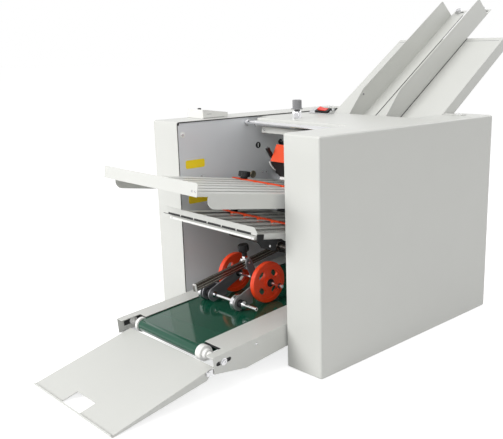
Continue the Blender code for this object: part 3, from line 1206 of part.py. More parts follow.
def make_press_unit():
    axle_place = reach(CONVEYOR, WHEEL_PLACE, WHEEL_RADIUS + GAP - BELT_DROP)
    shaft_place = reach(CONVEYOR, SHAFT_PLACE, RING_RADIUS + GAP - BELT_DROP)
    clamp_place = (BAR_CLAMP_Y, BAR_CLAMP_Z)
    hanger_x = BAR_X + CLAMP_SIDE / 2 + GAP + HANGER_THICK / 2
    hanger = [strap(clamp_place, axle_place, HANGER_HALF, HOLE_STEPS // 2),
              circle(clamp_place, CLAMP_PIN_RADIUS + GAP, HOLE_STEPS),
              circle(axle_place, AXLE_RADIUS + GAP, HOLE_STEPS)]
    add_plate("hanger_plate", hanger, HANGER_THICK, "YZ", hanger_x, MACHINE, pivot=(hanger_x, *clamp_place),
              finish="dark_steel")
    axle = (AXLE_LEFT, AXLE_RIGHT, *axle_place, AXLE_RADIUS)
    add_rods("wheel_axle", [axle], MACHINE, ROUND_STEPS, pivot=(0, *axle_place), finish="steel", smooth=True)
    for name, left in (("right_press_wheel", WHEEL_RIGHT_X), ("left_press_wheel", WHEEL_LEFT_X)):
        make_wheel(name, left, axle_place)
    rise = (shaft_place[1] - axle_place[1]) / (shaft_place[0] - axle_place[0])
    along = (*shaft_place, math.atan(rise))
    reach_out = math.dist(shaft_place, axle_place)
    outline = arc((0, 0), LINK_NOSE, math.pi / 2, LINK_NOSE_END, HOLE_STEPS // 2) + [LINK_CHIN, LINK_HEEL, LINK_BACK]
    outline += arc((reach_out, 0), LINK_EYE, -math.pi / 2, math.pi / 2, HOLE_STEPS // 2)
    link = [[reach(along, *point) for point in outline], circle(axle_place, AXLE_RADIUS + GAP, HOLE_STEPS),
            circle(shaft_place, AXLE_RADIUS + GAP, HOLE_STEPS)]
    for name, left in (("right_link_arm", LINK_RIGHT_X), ("left_link_arm", LINK_LEFT_X)):
        middle = left + LINK_THICK / 2
        add_plate(name, link, LINK_THICK, "YZ", middle, MACHINE, pivot=(middle, *axle_place), finish="dark_steel")
    web_rear = LINK_WEB_FRONT + LINK_THICK
    corners = ((LINK_WEB_FRONT, LINK_WEB_LOW), (web_rear, LINK_WEB_LOW), (web_rear, LINK_WEB_HIGH),
               (LINK_WEB_FRONT, LINK_WEB_HIGH))
    web = [reach(along, *point) for point in corners]
    fork_end = LINK_INNER_X + LINK_THICK
    fork = bpy.data.objects["left_link_arm"]
    join(fork, add_plate("fork_inner_cheek", link, LINK_THICK, "YZ", LINK_INNER_X + LINK_THICK / 2, MACHINE))
    join(fork, add_plate("fork_web", [web], fork_end - LINK_LEFT_X, "YZ", (fork_end + LINK_LEFT_X) / 2, MACHINE))
    thin = AXLE_RADIUS
    profile = [(0, SHAFT_RIGHT), (thin, SHAFT_RIGHT)]
    right_collar = LINK_RIGHT_X + LINK_THICK + SHAFT_COLLAR_FREE
    left_collar = LINK_LEFT_X + LINK_THICK + SHAFT_COLLAR_FREE
    collars = ((RING_RIGHT_X, right_collar, right_collar + SHAFT_COLLAR),
               (RING_LEFT_X, left_collar, LINK_INNER_X - SHAFT_COLLAR_FREE))
    for ring, collar, collar_end in collars:
        profile += [(thin, collar_end), (SHAFT_COLLAR_RADIUS, collar_end), (SHAFT_COLLAR_RADIUS, collar),
                    (thin, collar), (thin, ring + RING_WIDTH), (RING_RADIUS, ring + RING_WIDTH),
                    (RING_RADIUS, ring), (thin, ring)]
    profile += [(thin, SHAFT_LEFT), (0, SHAFT_LEFT)]
    add_turned("press_shaft", profile, MACHINE, (0, *shaft_place), "X", "steel", FINE_STEPS)


def make_wheel(name, left, place):
    """Spoked disc: a rim, a thinner dished web with oval holes, and a hub that is wider than the rim"""
    right = left + WHEEL_WIDTH
    bore = AXLE_RADIUS + GAP
    rim = WHEEL_RADIUS - WHEEL_RIM
    profile = [(bore, right + WHEEL_HUB), (WHEEL_HUB_RADIUS, right + WHEEL_HUB),
               (WHEEL_HUB_RADIUS, right - WHEEL_DISH), (rim, right - WHEEL_DISH), (rim, right),
               (WHEEL_RADIUS - KNOB_EDGE, right), (WHEEL_RADIUS, right - KNOB_EDGE),
               (WHEEL_RADIUS, left + KNOB_EDGE), (WHEEL_RADIUS - KNOB_EDGE, left), (rim, left),
               (rim, left + WHEEL_DISH), (WHEEL_HUB_RADIUS, left + WHEEL_DISH),
               (WHEEL_HUB_RADIUS, left - WHEEL_HUB), (bore, left - WHEEL_HUB)]
    wheel = add_turned(name, profile, MACHINE, (0, *place), "X", "orange", WHEEL_STEPS, ring=True)
    middle = left + WHEEL_WIDTH / 2
    for index in range(WHEEL_HOLES):
        angle = 2 * math.pi * (index + 0.5) / WHEEL_HOLES
        centre = (place[0] + WHEEL_HOLE_PLACE * math.cos(angle), place[1] + WHEEL_HOLE_PLACE * math.sin(angle))
        oval = []
        for across, along in slot((0, 0), WHEEL_HOLE_LONG, WHEEL_HOLE_SHORT, CORNER_STEPS):
            oval.append((centre[0] - across * math.sin(angle) + along * math.cos(angle),
                         centre[1] + across * math.cos(angle) + along * math.sin(angle)))
        cut(wheel, add_plate("wheel_hole", [oval], WHEEL_WIDTH + 2 * OVERRUN, "YZ", middle, MACHINE))


def make_motor():
    rods = [(MOTOR_LEFT, MOTOR_RIGHT, MOTOR_Y, MOTOR_Z, MOTOR_RADIUS)]
    motor = add_rods("motor", rods, MACHINE, FINE_STEPS, finish="grey_paint", smooth=True)
    floor = BASE_Z + SHEET + GAP
    join(motor, add_box("motor_foot", (MOTOR_LEFT + MOTOR_NOSE, MOTOR_Y - MOTOR_FOOT_HALF, floor),
                        (MOTOR_RIGHT - MOTOR_NOSE, MOTOR_Y + MOTOR_FOOT_HALF, MOTOR_FOOT_HEIGHT), MACHINE))
    nose = (MOTOR_RIGHT - MOTOR_NOSE, MOTOR_RIGHT + MOTOR_NOSE, MOTOR_Y, MOTOR_Z, MOTOR_NOSE_RADIUS)
    join(motor, add_rods("motor_nose", [nose], MACHINE, ROUND_STEPS))
    end = PULLEY_X + PULLEY_WIDTH
    start = MOTOR_RIGHT + MOTOR_NOSE + GAP
    profile = [(0, end), (MOTOR_SHAFT_RADIUS, end), (MOTOR_SHAFT_RADIUS, end - PULLEY_RIM),
               (PULLEY_RADIUS, end - PULLEY_RIM), (PULLEY_RADIUS, PULLEY_X), (MOTOR_SHAFT_RADIUS, PULLEY_X),
               (MOTOR_SHAFT_RADIUS, start), (0, start)]
    add_turned("motor_pulley", profile, MACHINE, (0, MOTOR_Y, MOTOR_Z), "X", "steel", ROUND_STEPS)
    motor_place = (MOTOR_Y, MOTOR_Z)
    driven_place = roller_places()[-1]
    near = PULLEY_RADIUS + GAP
    far = PULLEY_LARGE_RADIUS + GAP
    inner = loop(motor_place, near, driven_place, far, HOLE_STEPS)
    outer = loop(motor_place, near + DRIVE_BELT_THICK, driven_place, far + DRIVE_BELT_THICK, HOLE_STEPS)
    width = PULLEY_WIDTH - 2 * PULLEY_RIM
    add_plate("drive_belt", [outer, inner], width, "YZ", PULLEY_X + width / 2, MACHINE, finish="rubber")


clear_scene()
PARTS = new_collection("paper_folding_machine")
CUTTERS = new_collection("cutters")
front_end = reach(TRAY, -TRAY_LENGTH - SHEET / 2, TRAY_RAISE + TRAY_LIP)[0]
rear_end = reach(FEED, GUIDE_LEG_END, GAP)[0]
MACHINE = new_empty("machine", (-(front_end + rear_end) / 2, 0, 0))
FEED_FRAME = new_empty("feed_frame", FEED, MACHINE)
UPPER_FRAME = new_empty("upper_frame", UPPER, MACHINE)
LOWER_FRAME = new_empty("lower_frame", LOWER, MACHINE)
REAR_UPPER_FRAME = new_empty("rear_upper_frame", REAR_UPPER, MACHINE)
REAR_LOWER_FRAME = new_empty("rear_lower_frame", REAR_LOWER, MACHINE)
CONVEYOR_FRAME = new_empty("conveyor_frame", CONVEYOR, MACHINE)
BAR_FRAME = new_empty("bar_frame", BAR, MACHINE)
TRAY_FRAME = new_empty("tray_frame", TRAY, MACHINE)
CONSOLE_FRAME = new_empty("console_frame", CONSOLE, MACHINE)
CHUTE_FRAME = new_empty("chute_frame", (CHUTE_REAR_Y, CHUTE_REAR_Z, CHUTE_SLOPE), MACHINE)

make_covers()
make_side_plates()
make_base()
make_power_inlet()
make_top()
make_speed_knob()
make_switch()
make_counter()
make_feed_tray()
make_guides()
make_feed_roller()
make_chute()
make_fold_rollers()
make_front_fold_plates()
make_rear_fold_plates()
make_stops()
make_catch()
make_feeder()
make_rails()
make_bed()
make_belt()
make_conveyor_rollers()
make_paper_tray()
make_guide_bar()
make_clamp()
make_press_unit()
make_motor()
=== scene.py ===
"""Looks of the paper folding machine: paint, plated steel, plastic, rubber and small fittings
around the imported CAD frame. Metres, +Z up, -Y is the delivery side, +X is the machine's right.
Places along Y are written from the front faces of the side covers, as on a workshop drawing.
"""
import json
import math

import bmesh
import bpy
from mathutils import Matrix, Vector


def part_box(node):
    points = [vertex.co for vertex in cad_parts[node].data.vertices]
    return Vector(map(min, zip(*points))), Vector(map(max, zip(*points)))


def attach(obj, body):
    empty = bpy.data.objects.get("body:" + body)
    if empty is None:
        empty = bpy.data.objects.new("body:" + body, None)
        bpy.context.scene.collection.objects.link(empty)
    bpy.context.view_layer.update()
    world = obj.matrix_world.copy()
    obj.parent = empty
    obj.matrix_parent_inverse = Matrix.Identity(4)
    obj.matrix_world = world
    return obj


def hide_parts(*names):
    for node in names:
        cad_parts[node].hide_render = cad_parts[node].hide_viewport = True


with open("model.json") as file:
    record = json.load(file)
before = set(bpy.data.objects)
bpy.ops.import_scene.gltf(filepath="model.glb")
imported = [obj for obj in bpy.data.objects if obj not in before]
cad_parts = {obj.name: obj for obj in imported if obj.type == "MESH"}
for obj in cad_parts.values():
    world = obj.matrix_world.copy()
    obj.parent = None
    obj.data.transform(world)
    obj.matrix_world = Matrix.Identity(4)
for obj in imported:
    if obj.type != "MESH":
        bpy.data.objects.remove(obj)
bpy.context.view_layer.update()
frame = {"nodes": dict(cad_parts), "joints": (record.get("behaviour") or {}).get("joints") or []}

# Camera: a long lens at table height, in front of the machine's right corner. It looks a little
# down, and its small shift and roll are those of the photograph's framing.
SENSOR_MM = 36.0
LENS_MM = 51.085
FRAME_SHIFT = (-0.1226, 0.0087)
camera_data = bpy.data.cameras.new("photo_camera")
camera_data.sensor_width = SENSOR_MM
camera_data.lens = LENS_MM
camera_data.shift_x, camera_data.shift_y = FRAME_SHIFT
camera = bpy.data.objects.new("photo_camera", camera_data)
bpy.context.scene.collection.objects.link(camera)
CAMERA_PLACE = (1.2196, -1.2394, 0.6523)
CAMERA_TURN = math.radians(44.646)
CAMERA_DIP = math.radians(13.403)
CAMERA_ROLL = math.radians(-0.592)
camera.matrix_world = (
    Matrix.Translation(CAMERA_PLACE)
    @ Matrix.Rotation(CAMERA_TURN, 4, "Z")
    @ Matrix.Rotation(math.pi / 2 - CAMERA_DIP, 4, "X")
    @ Matrix.Rotation(CAMERA_ROLL, 4, "Z")
)
bpy.context.scene.camera = camera
bpy.context.scene.view_settings.view_transform = "Standard"

# Studio: white surroundings for the eye and for gloss, a softer level for what they light, and
# four large soft lamps. The key comes from the front left and above, so the right side is shaded,
# and a weak one from the right lights the inner face of the left side plate.
AMBIENT = 0.46
PURE_WHITE = (1.0, 1.0, 1.0, 1.0)
world = bpy.data.worlds.new("studio")
bpy.context.scene.world = world
world.use_nodes = True
sky = world.node_tree
sky.nodes.clear()
sky_path = sky.nodes.new("ShaderNodeLightPath")
sky_seen = sky.nodes.new("ShaderNodeMath")
sky_seen.operation = "MAXIMUM"
sky_clear = sky.nodes.new("ShaderNodeMath")
sky_clear.operation = "MAXIMUM"
sky_soft = sky.nodes.new("ShaderNodeBackground")
sky_soft.inputs["Color"].default_value = PURE_WHITE
sky_soft.inputs["Strength"].default_value = AMBIENT
sky_white = sky.nodes.new("ShaderNodeBackground")
sky_white.inputs["Color"].default_value = PURE_WHITE
sky_white.inputs["Strength"].default_value = 1.0
sky_mix = sky.nodes.new("ShaderNodeMixShader")
sky_out = sky.nodes.new("ShaderNodeOutputWorld")
sky.links.new(sky_path.outputs["Is Camera Ray"], sky_seen.inputs[0])
sky.links.new(sky_path.outputs["Is Glossy Ray"], sky_seen.inputs[1])
sky.links.new(sky_seen.outputs[0], sky_clear.inputs[0])
sky.links.new(sky_path.outputs["Is Transmission Ray"], sky_clear.inputs[1])
sky.links.new(sky_clear.outputs[0], sky_mix.inputs["Fac"])
sky.links.new(sky_soft.outputs[0], sky_mix.inputs[1])
sky.links.new(sky_white.outputs[0], sky_mix.inputs[2])
sky.links.new(sky_mix.outputs[0], sky_out.inputs["Surface"])


def hang_lamp(name, place, aim, size, power):
    """Square soft lamp at a place, facing the aim"""
    lamp_data = bpy.data.lights.new(name, "AREA")
    lamp_data.size = size
    lamp_data.energy = power
    lamp = bpy.data.objects.new(name, lamp_data)
    lamp.location = place
    lamp.rotation_euler = (Vector(aim) - Vector(place)).to_track_quat("-Z", "Y").to_euler()
    bpy.context.scene.collection.objects.link(lamp)


MACHINE_MIDDLE = (0.0, 0.0, 0.3)
LAMPS = (
    ("key_lamp", (-1.0, -3.1, 1.7), 1.6, 79.0),
    ("top_lamp", (0.3, 0.2, 2.8), 2.0, 20.0),
    ("back_lamp", (0.8, 2.8, 1.8), 1.6, 22.0),
    ("side_lamp", (2.4, -2.0, 1.7), 1.2, 15.0),
)
for lamp_name, lamp_place, lamp_size, lamp_power in LAMPS:
    hang_lamp(lamp_name, lamp_place, MACHINE_MIDDLE, lamp_size, lamp_power)

# Floor: a plain white sheet, far larger than the view. Seen by the camera it is lifted towards
# white by its own colour, and it keeps the machine's soft shadow.
FLOOR_HALF = 40.0
FLOOR_DROP = 0.0004
FLOOR_LIFT = 0.74
FLOOR_LIT = (0.58, 0.58, 0.58, 1.0)
FLOOR_PLAIN = (0.74, 0.74, 0.74, 1.0)
bpy.ops.mesh.primitive_plane_add(size=2 * FLOOR_HALF, location=(0, 0, -FLOOR_DROP))
floor = bpy.context.object
floor.name = "floor"
floor_paint = bpy.data.materials.new("floor_sheet")
floor_paint.use_nodes = True
sheet_tree = floor_paint.node_tree
sheet_tree.nodes.clear()
floor_path = sheet_tree.nodes.new("ShaderNodeLightPath")
floor_seen = sheet_tree.nodes.new("ShaderNodeMath")
floor_seen.operation = "MAXIMUM"
floor_plain = sheet_tree.nodes.new("ShaderNodeBsdfDiffuse")
floor_plain.inputs["Color"].default_value = FLOOR_PLAIN
floor_shaded = sheet_tree.nodes.new("ShaderNodeBsdfDiffuse")
floor_shaded.inputs["Color"].default_value = FLOOR_LIT
floor_glow = sheet_tree.nodes.new("ShaderNodeEmission")
floor_glow.inputs["Color"].default_value = PURE_WHITE
floor_glow.inputs["Strength"].default_value = FLOOR_LIFT
floor_add = sheet_tree.nodes.new("ShaderNodeAddShader")
floor_mix = sheet_tree.nodes.new("ShaderNodeMixShader")
floor_out = sheet_tree.nodes.new("ShaderNodeOutputMaterial")
sheet_tree.links.new(floor_path.outputs["Is Camera Ray"], floor_seen.inputs[0])
sheet_tree.links.new(floor_path.outputs["Is Glossy Ray"], floor_seen.inputs[1])
sheet_tree.links.new(floor_shaded.outputs[0], floor_add.inputs[0])
sheet_tree.links.new(floor_glow.outputs[0], floor_add.inputs[1])
sheet_tree.links.new(floor_seen.outputs[0], floor_mix.inputs["Fac"])
sheet_tree.links.new(floor_plain.outputs[0], floor_mix.inputs[1])
sheet_tree.links.new(floor_add.outputs[0], floor_mix.inputs[2])
sheet_tree.links.new(floor_mix.outputs[0], floor_out.inputs["Surface"])
floor.data.materials.append(floor_paint)

# Side covers: the two folded sheet-steel boxes that close the ends of the machine. Each is bent
# from one sheet, welded at the corners, ground and powder coated off-white, then pushed over the
# side plate. The coat has a fine orange-peel texture, and two screws hold each box at the rear.
COAT_WHITE = (0.63, 0.635, 0.605)
COAT_ROUGHNESS = 0.36
CLEAR_COAT_ROUGHNESS = 0.10
DRIFT_DETAIL = 4.0
GRAIN_DETAIL = 2.0
GRAIN_DEPTH = 0.0002
GRAIN_RANGE = (0.3, 0.7)
DULL_SHARES = (0.88, 1.14)
# Pointiness range over which outer edges get their painted highlight.
HIGHLIGHT_EDGE_RANGE = (0.52, 0.60)
WELD_REACH = 0.00001
EDGE_ANGLE = math.radians(40)
SHARP_ANGLE = math.radians(35)
SCREW_PROFILE_SHARES = ((1, 0), (1, 0.6), (0.8, 1), (0.45, 1), (0.40, 0.35))
SCREW_STEPS = 16


def node_of(tree, kind, **values):
    """New shader node with its settings given by name"""
    made = tree.nodes.new(kind)
    for key, value in values.items():
        setattr(made, key, value)
    return made


def finish_of(name, colour, roughness, metallic=0.0, mottle=0.04, mottle_scale=9.0, grain=0.02,
              grain_scale=900.0, stretch=(1.0, 1.0, 1.0), coat=0.0, edge_highlight=0.0, specular=0.5):
    """Surface whose colour drifts a little, whose roughness varies and whose grain is raised.
    Its outer edges are painted lighter, a painted highlight."""
    material = bpy.data.materials.new(name)
    material.use_nodes = True
    tree = material.node_tree
    shader = tree.nodes["Principled BSDF"]
    shader.inputs["Metallic"].default_value = metallic
    shader.inputs["Coat Weight"].default_value = coat
    shader.inputs["Coat Roughness"].default_value = CLEAR_COAT_ROUGHNESS
    shader.inputs["Specular IOR Level"].default_value = specular
    place = node_of(tree, "ShaderNodeTexCoord")
    spread = node_of(tree, "ShaderNodeMapping")
    spread.inputs["Scale"].default_value = stretch
    tree.links.new(place.outputs["Object"], spread.inputs["Vector"])
    drift = node_of(tree, "ShaderNodeTexNoise")
    drift.inputs["Scale"].default_value = mottle_scale
    drift.inputs["Detail"].default_value = DRIFT_DETAIL
    fine = node_of(tree, "ShaderNodeTexNoise")
    fine.inputs["Scale"].default_value = grain_scale
    fine.inputs["Detail"].default_value = GRAIN_DETAIL
    tree.links.new(place.outputs["Object"], drift.inputs["Vector"])
    tree.links.new(spread.outputs["Vector"], fine.inputs["Vector"])
    tint = node_of(tree, "ShaderNodeMix", data_type="RGBA", blend_type="MIX")
    tint.inputs["A"].default_value = (*[channel * (1 - mottle) for channel in colour], 1.0)
    tint.inputs["B"].default_value = (*[min(1.0, channel * (1 + mottle)) for channel in colour], 1.0)
    tree.links.new(drift.outputs["Fac"], tint.inputs["Factor"])
    shown = tint.outputs["Result"]
    # Painted highlight: convex outer edges blend towards a paler copy of the colour.
    if edge_highlight:
        edges = node_of(tree, "ShaderNodeNewGeometry")
        highlight_mask = node_of(tree, "ShaderNodeMapRange")
        highlight_mask.inputs["From Min"].default_value = HIGHLIGHT_EDGE_RANGE[0]
        highlight_mask.inputs["From Max"].default_value = HIGHLIGHT_EDGE_RANGE[1]
        highlight_mask.inputs["To Max"].default_value = edge_highlight
        tree.links.new(edges.outputs["Pointiness"], highlight_mask.inputs["Value"])
        highlighted = node_of(tree, "ShaderNodeMix", data_type="RGBA", blend_type="MIX")
        highlighted.inputs["B"].default_value = (*[0.5 + 0.5 * channel for channel in colour], 1.0)
        tree.links.new(highlight_mask.outputs["Result"], highlighted.inputs["Factor"])
        tree.links.new(shown, highlighted.inputs["A"])
        shown = highlighted.outputs["Result"]
    tree.links.new(shown, shader.inputs["Base Color"])
    dull = node_of(tree, "ShaderNodeMapRange")
    dull.inputs["From Min"].default_value = GRAIN_RANGE[0]
    dull.inputs["From Max"].default_value = GRAIN_RANGE[1]
    dull.inputs["To Min"].default_value = roughness * DULL_SHARES[0]
    dull.inputs["To Max"].default_value = min(1.0, roughness * DULL_SHARES[1])
    tree.links.new(fine.outputs["Fac"], dull.inputs["Value"])
    tree.links.new(dull.outputs["Result"], shader.inputs["Roughness"])
    raised = node_of(tree, "ShaderNodeBump")
    raised.inputs["Strength"].default_value = grain
    raised.inputs["Distance"].default_value = GRAIN_DEPTH
    tree.links.new(fine.outputs["Fac"], raised.inputs["Height"])
    tree.links.new(raised.outputs["Normal"], shader.inputs["Normal"])
    return material


def break_edges(thing, width, segments=2):
    """Rounds an object's sharp edges by a small radius"""
    bevel = thing.modifiers.new("edge", "BEVEL")
    bevel.width = width
    bevel.segments = segments
    bevel.limit_method = "ANGLE"
    bevel.angle_limit = EDGE_ANGLE


def dress(name, material, edge=0.0, segments=2):
    """Gives a CAD node its finish, and breaks its sharp edges by a small radius"""
    thing = frame["nodes"][name]
    thing.data.materials.clear()
    thing.data.materials.append(material)
    for old in [layer for layer in thing.data.attributes if layer.name == "custom_normal"]:
        thing.data.attributes.remove(old)
    thing.data.shade_smooth()
    weld = thing.modifiers.new("weld", "WELD")
    weld.merge_threshold = WELD_REACH
    if edge:
        break_edges(thing, edge, segments)
    normals = thing.modifiers.new("normals", "WEIGHTED_NORMAL")
    normals.keep_sharp = True


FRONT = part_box("right_side_cover")[0][1]
TO_RIGHT = Matrix.Rotation(math.pi / 2, 4, "Y")
TO_LEFT = Matrix.Rotation(-math.pi / 2, 4, "Y")
TO_FRONT = Matrix.Rotation(math.pi / 2, 4, "X")
TO_REAR = TO_FRONT.inverted()


def at(x, y, z):
    """Place of a point: x from the middle, y from the covers' front faces, z from the floor"""
    return Matrix.Translation((x, FRONT + y, z))


def sloped(y, z, degrees):
    """Frame of a sloped unit, turned about X"""
    return at(0, y, z) @ Matrix.Rotation(math.radians(degrees), 4, "X")


def lathe(shape, place, profile, steps=24, flutes=(), depth=0.0):
    """Turned form about the place's z. The profile's points are (radius, height), and those whose
    numbers are in flutes have every second corner drawn in by the depth."""
    rings = []
    for number, (radius, height) in enumerate(profile):
        ring = []
        for step in range(steps):
            drawn = radius - depth if number in flutes and step % 2 else radius
            angle = 2 * math.pi * step / steps
            spot = Vector((drawn * math.cos(angle), drawn * math.sin(angle), height))
            ring.append(shape.verts.new(place @ spot))
        rings.append(ring)
    for lower, upper in zip(rings, rings[1:]):
        for step in range(steps):
            turn = (step + 1) % steps
            shape.faces.new((lower[step], lower[turn], upper[turn], upper[step]))
    shape.faces.new(rings[-1])
    shape.faces.new(list(reversed(rings[0])))


def prism(shape, place, outline, low, high):
    """Outline's (x, y) points drawn out along the place's z from low to high"""
    foot = [shape.verts.new(place @ Vector((x, y, low))) for x, y in outline]
    head = [shape.verts.new(place @ Vector((x, y, high))) for x, y in outline]
    shape.faces.new(list(reversed(foot)))
    shape.faces.new(head)
    for step in range(len(outline)):
        turn = (step + 1) % len(outline)
        shape.faces.new((foot[step], foot[turn], head[turn], head[step]))


def block(shape, place, low, high):
    """Box from its low to its high corner"""
    outline = [(low[0], low[1]), (high[0], low[1]), (high[0], high[1]), (low[0], high[1])]
    prism(shape, place, outline, low[2], high[2])


def screw_head(shape, place, radius, height):
    """Round screw head with a socket, standing on the place's z"""
    profile = [(radius * wide, height * tall) for wide, tall in SCREW_PROFILE_SHARES]
    lathe(shape, place, profile, SCREW_STEPS)


def add_piece(name, shape, material, body, edge=0.0):
    """New piece that moves with a CAD body, in the given finish"""
    mesh = bpy.data.meshes.new(name)
    bmesh.ops.recalc_face_normals(shape, faces=shape.faces)
    shape.to_mesh(mesh)
    shape.free()
    mesh.shade_smooth()
    mesh.set_sharp_from_angle(angle=SHARP_ANGLE)
    mesh.materials.append(material)
    piece = bpy.data.objects.new(name, mesh)
    bpy.context.scene.collection.objects.link(piece)
    if edge:
        break_edges(piece, edge)
    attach(piece, body)
    return piece


cover_coat = finish_of("cover_coat", COAT_WHITE, COAT_ROUGHNESS, grain=0.10, mottle=0.02)
steel = finish_of("bright_steel", (0.64, 0.64, 0.65), 0.24, metallic=1.0, grain=0.06,
                  stretch=(0.03, 1.0, 1.0))
for side in ("left", "right"):
    dress(f"{side}_side_cover", cover_coat)
COVER_SCREW_X = 0.2320
COVER_BACK_Y = 0.6205
cover_screws = bmesh.new()
for side in (-1, 1):
    for height in (0.06, 0.44):
        screw_place = at(side * COVER_SCREW_X, COVER_BACK_Y, height) @ TO_REAR
        screw_head(cover_screws, screw_place, radius=0.0045, height=0.0030)
add_piece("cover_screws", cover_screws, steel, "frame")

# Side plates: the frame of the machine, two 3 mm steel sheets in satin grey that carry every shaft.
# On the left one show two bare yellow plates, a screw with a white washer, a black ring with a
# white pin, a bronze ring bush and small screws. A dark strip in each cover's top joint is painted shade.
plate_coat = finish_of("plate_coat", (0.745, 0.765, 0.79), 0.34, metallic=0.12, grain=0.03, mottle=0.03,
                       mottle_scale=3.0, grain_scale=500.0)
# Near-black finish: the lever ring's own black, and elsewhere painted shade in gaps, slots, holes and along
# feet.
black_and_painted_shade = finish_of("black_and_painted_shade", (0.012, 0.012, 0.013), 0.6, grain=0.02)
yellow_plate = finish_of("yellow_plate", (1.00, 0.72, 0.015), 0.40, grain=0.02)
white_nylon = finish_of("white_nylon", (0.84, 0.84, 0.82), 0.34, grain=0.03)
PLATE_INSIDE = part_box("left_side_plate")[1][0]
for side in ("left", "right"):
    dress(f"{side}_side_plate", plate_coat, edge=0.0004)
LABEL_CORNER_CENTRE = (0.0055, 0.0235)
LABEL_ROUNDING = 0.0045
LABEL_THICK = 0.0006
label_outline = []
for side_x, side_y, first in ((1, 1, 0), (-1, 1, 90), (-1, -1, 180), (1, -1, 270)):
    for step in (0, 30, 60, 90):
        turn = math.radians(first + step)
        label_outline.append((side_x * LABEL_CORNER_CENTRE[0] + LABEL_ROUNDING * math.cos(turn),
                              side_y * LABEL_CORNER_CENTRE[1] + LABEL_ROUNDING * math.sin(turn)))
labels = bmesh.new()
for place_y, place_z in ((0.049, 0.397), (0.053, 0.311)):
    prism(labels, at(PLATE_INSIDE, place_y, place_z) @ TO_RIGHT, label_outline, 0, LABEL_THICK)
add_piece("yellow_plates", labels, yellow_plate, "frame")
WASHER_YZ = (0.016, 0.469)
plate_screws = bmesh.new()
for place_y, place_z, radius in ((*WASHER_YZ, 0.0035), (0.065, 0.365, 0.0025), (0.262, 0.352, 0.0028),
                                 (0.276, 0.350, 0.0020)):
    screw_head(plate_screws, at(PLATE_INSIDE, place_y, place_z) @ TO_RIGHT, radius, height=0.0022)
add_piece("plate_screws", plate_screws, steel, "frame")
WASHER_PROFILE = [(0.0075, 0), (0.0075, 0.0008), (0.0068, 0.0012)]
washer = bmesh.new()
lathe(washer, at(PLATE_INSIDE, *WASHER_YZ) @ TO_RIGHT, WASHER_PROFILE)
add_piece("screw_washer", washer, white_nylon, "frame")
RING_PLACE = at(PLATE_INSIDE, 0.251, 0.423)
RING_PROFILE = [(0.0082, 0), (0.0082, 0.0010), (0.0062, 0.0016), (0.0045, 0.0010), (0.0042, 0.0002)]
HOLE_SHADE_PROFILE = [(0.0030, 0), (0.0030, 0.0010)]
ring_and_shade = bmesh.new()
lathe(ring_and_shade, RING_PLACE @ TO_RIGHT, RING_PROFILE, steps=28)
# Painted shade: a dark strip along the plate's front edge, in its gap to the cover, and a dark disc in a
# hole near its top.
block(ring_and_shade, at(PLATE_INSIDE, 0.0022, 0), (0, 0, 0.003), (0.0006, 0.0012, 0.492))
lathe(ring_and_shade, at(PLATE_INSIDE, 0.0045, 0.4945) @ TO_RIGHT, HOLE_SHADE_PROFILE, steps=16)
add_piece("plate_ring_and_gap_shade", ring_and_shade, black_and_painted_shade, "frame")
ring_pin = bmesh.new()
block(ring_pin, RING_PLACE, (0, -0.0009, -0.0052), (0.0016, 0.0009, 0.0052))
add_piece("plate_ring_pin", ring_pin, white_nylon, "frame", edge=0.0003)
bush_bronze = finish_of("bush_bronze", (0.30, 0.27, 0.20), 0.35, metallic=0.8)
BUSH_PROFILE = [(0.0095, 0), (0.0095, 0.0022), (0.0085, 0.0030), (0.0062, 0.0030), (0.0058, 0.0010)]
bush = bmesh.new()
lathe(bush, at(PLATE_INSIDE, 0.230, 0.349) @ TO_RIGHT, BUSH_PROFILE, steps=28)
add_piece("plate_bush", bush, bush_bronze, "frame")
# Painted shade: a dark strip in the gap of each cover's top joint.
JOINT_SHADE_INNER_X, JOINT_SHADE_OUTER_X = 0.1822, 0.1838
joint_shade = bmesh.new()
for side in (-1, 1):
    low_x, high_x = sorted((side * JOINT_SHADE_INNER_X, side * JOINT_SHADE_OUTER_X))
    block(joint_shade, at(0, 0, 0), (low_x, 0.004, 0.4970), (high_x, 0.560, 0.4992))
add_piece("cover_joint_shade", joint_shade, black_and_painted_shade, "frame")

# Base plate with its rear wall: one sheet, bent up along three sides and coated like the covers,
# screwed between the side plates. The rear wall carries the mains inlet and a row of air slits.
dress("base_plate", cover_coat, edge=0.0004)
WALL_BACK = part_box("base_plate")[1][1] - FRONT
SLITS = 9
FIRST_SLIT_X = -0.120
SLIT_PITCH = 0.018
SLIT_HALF_WIDE = 0.0025
# Painted shade: each air slit is a dark inlay, for the shade inside it.
slit_shade = bmesh.new()
for number in range(SLITS):
    block(slit_shade, at(FIRST_SLIT_X + SLIT_PITCH * number, WALL_BACK, 0),
          (-SLIT_HALF_WIDE, -0.0001, 0.040), (SLIT_HALF_WIDE, 0.0003, 0.085))
add_piece("rear_wall_slit_shade", slit_shade, black_and_painted_shade, "frame")
wall_screws = bmesh.new()
for place_x in (-0.170, 0.170):
    screw_head(wall_screws, at(place_x, WALL_BACK, 0.090) @ TO_REAR, radius=0.0040, height=0.0026)
add_piece("rear_wall_screws", wall_screws, steel, "frame")

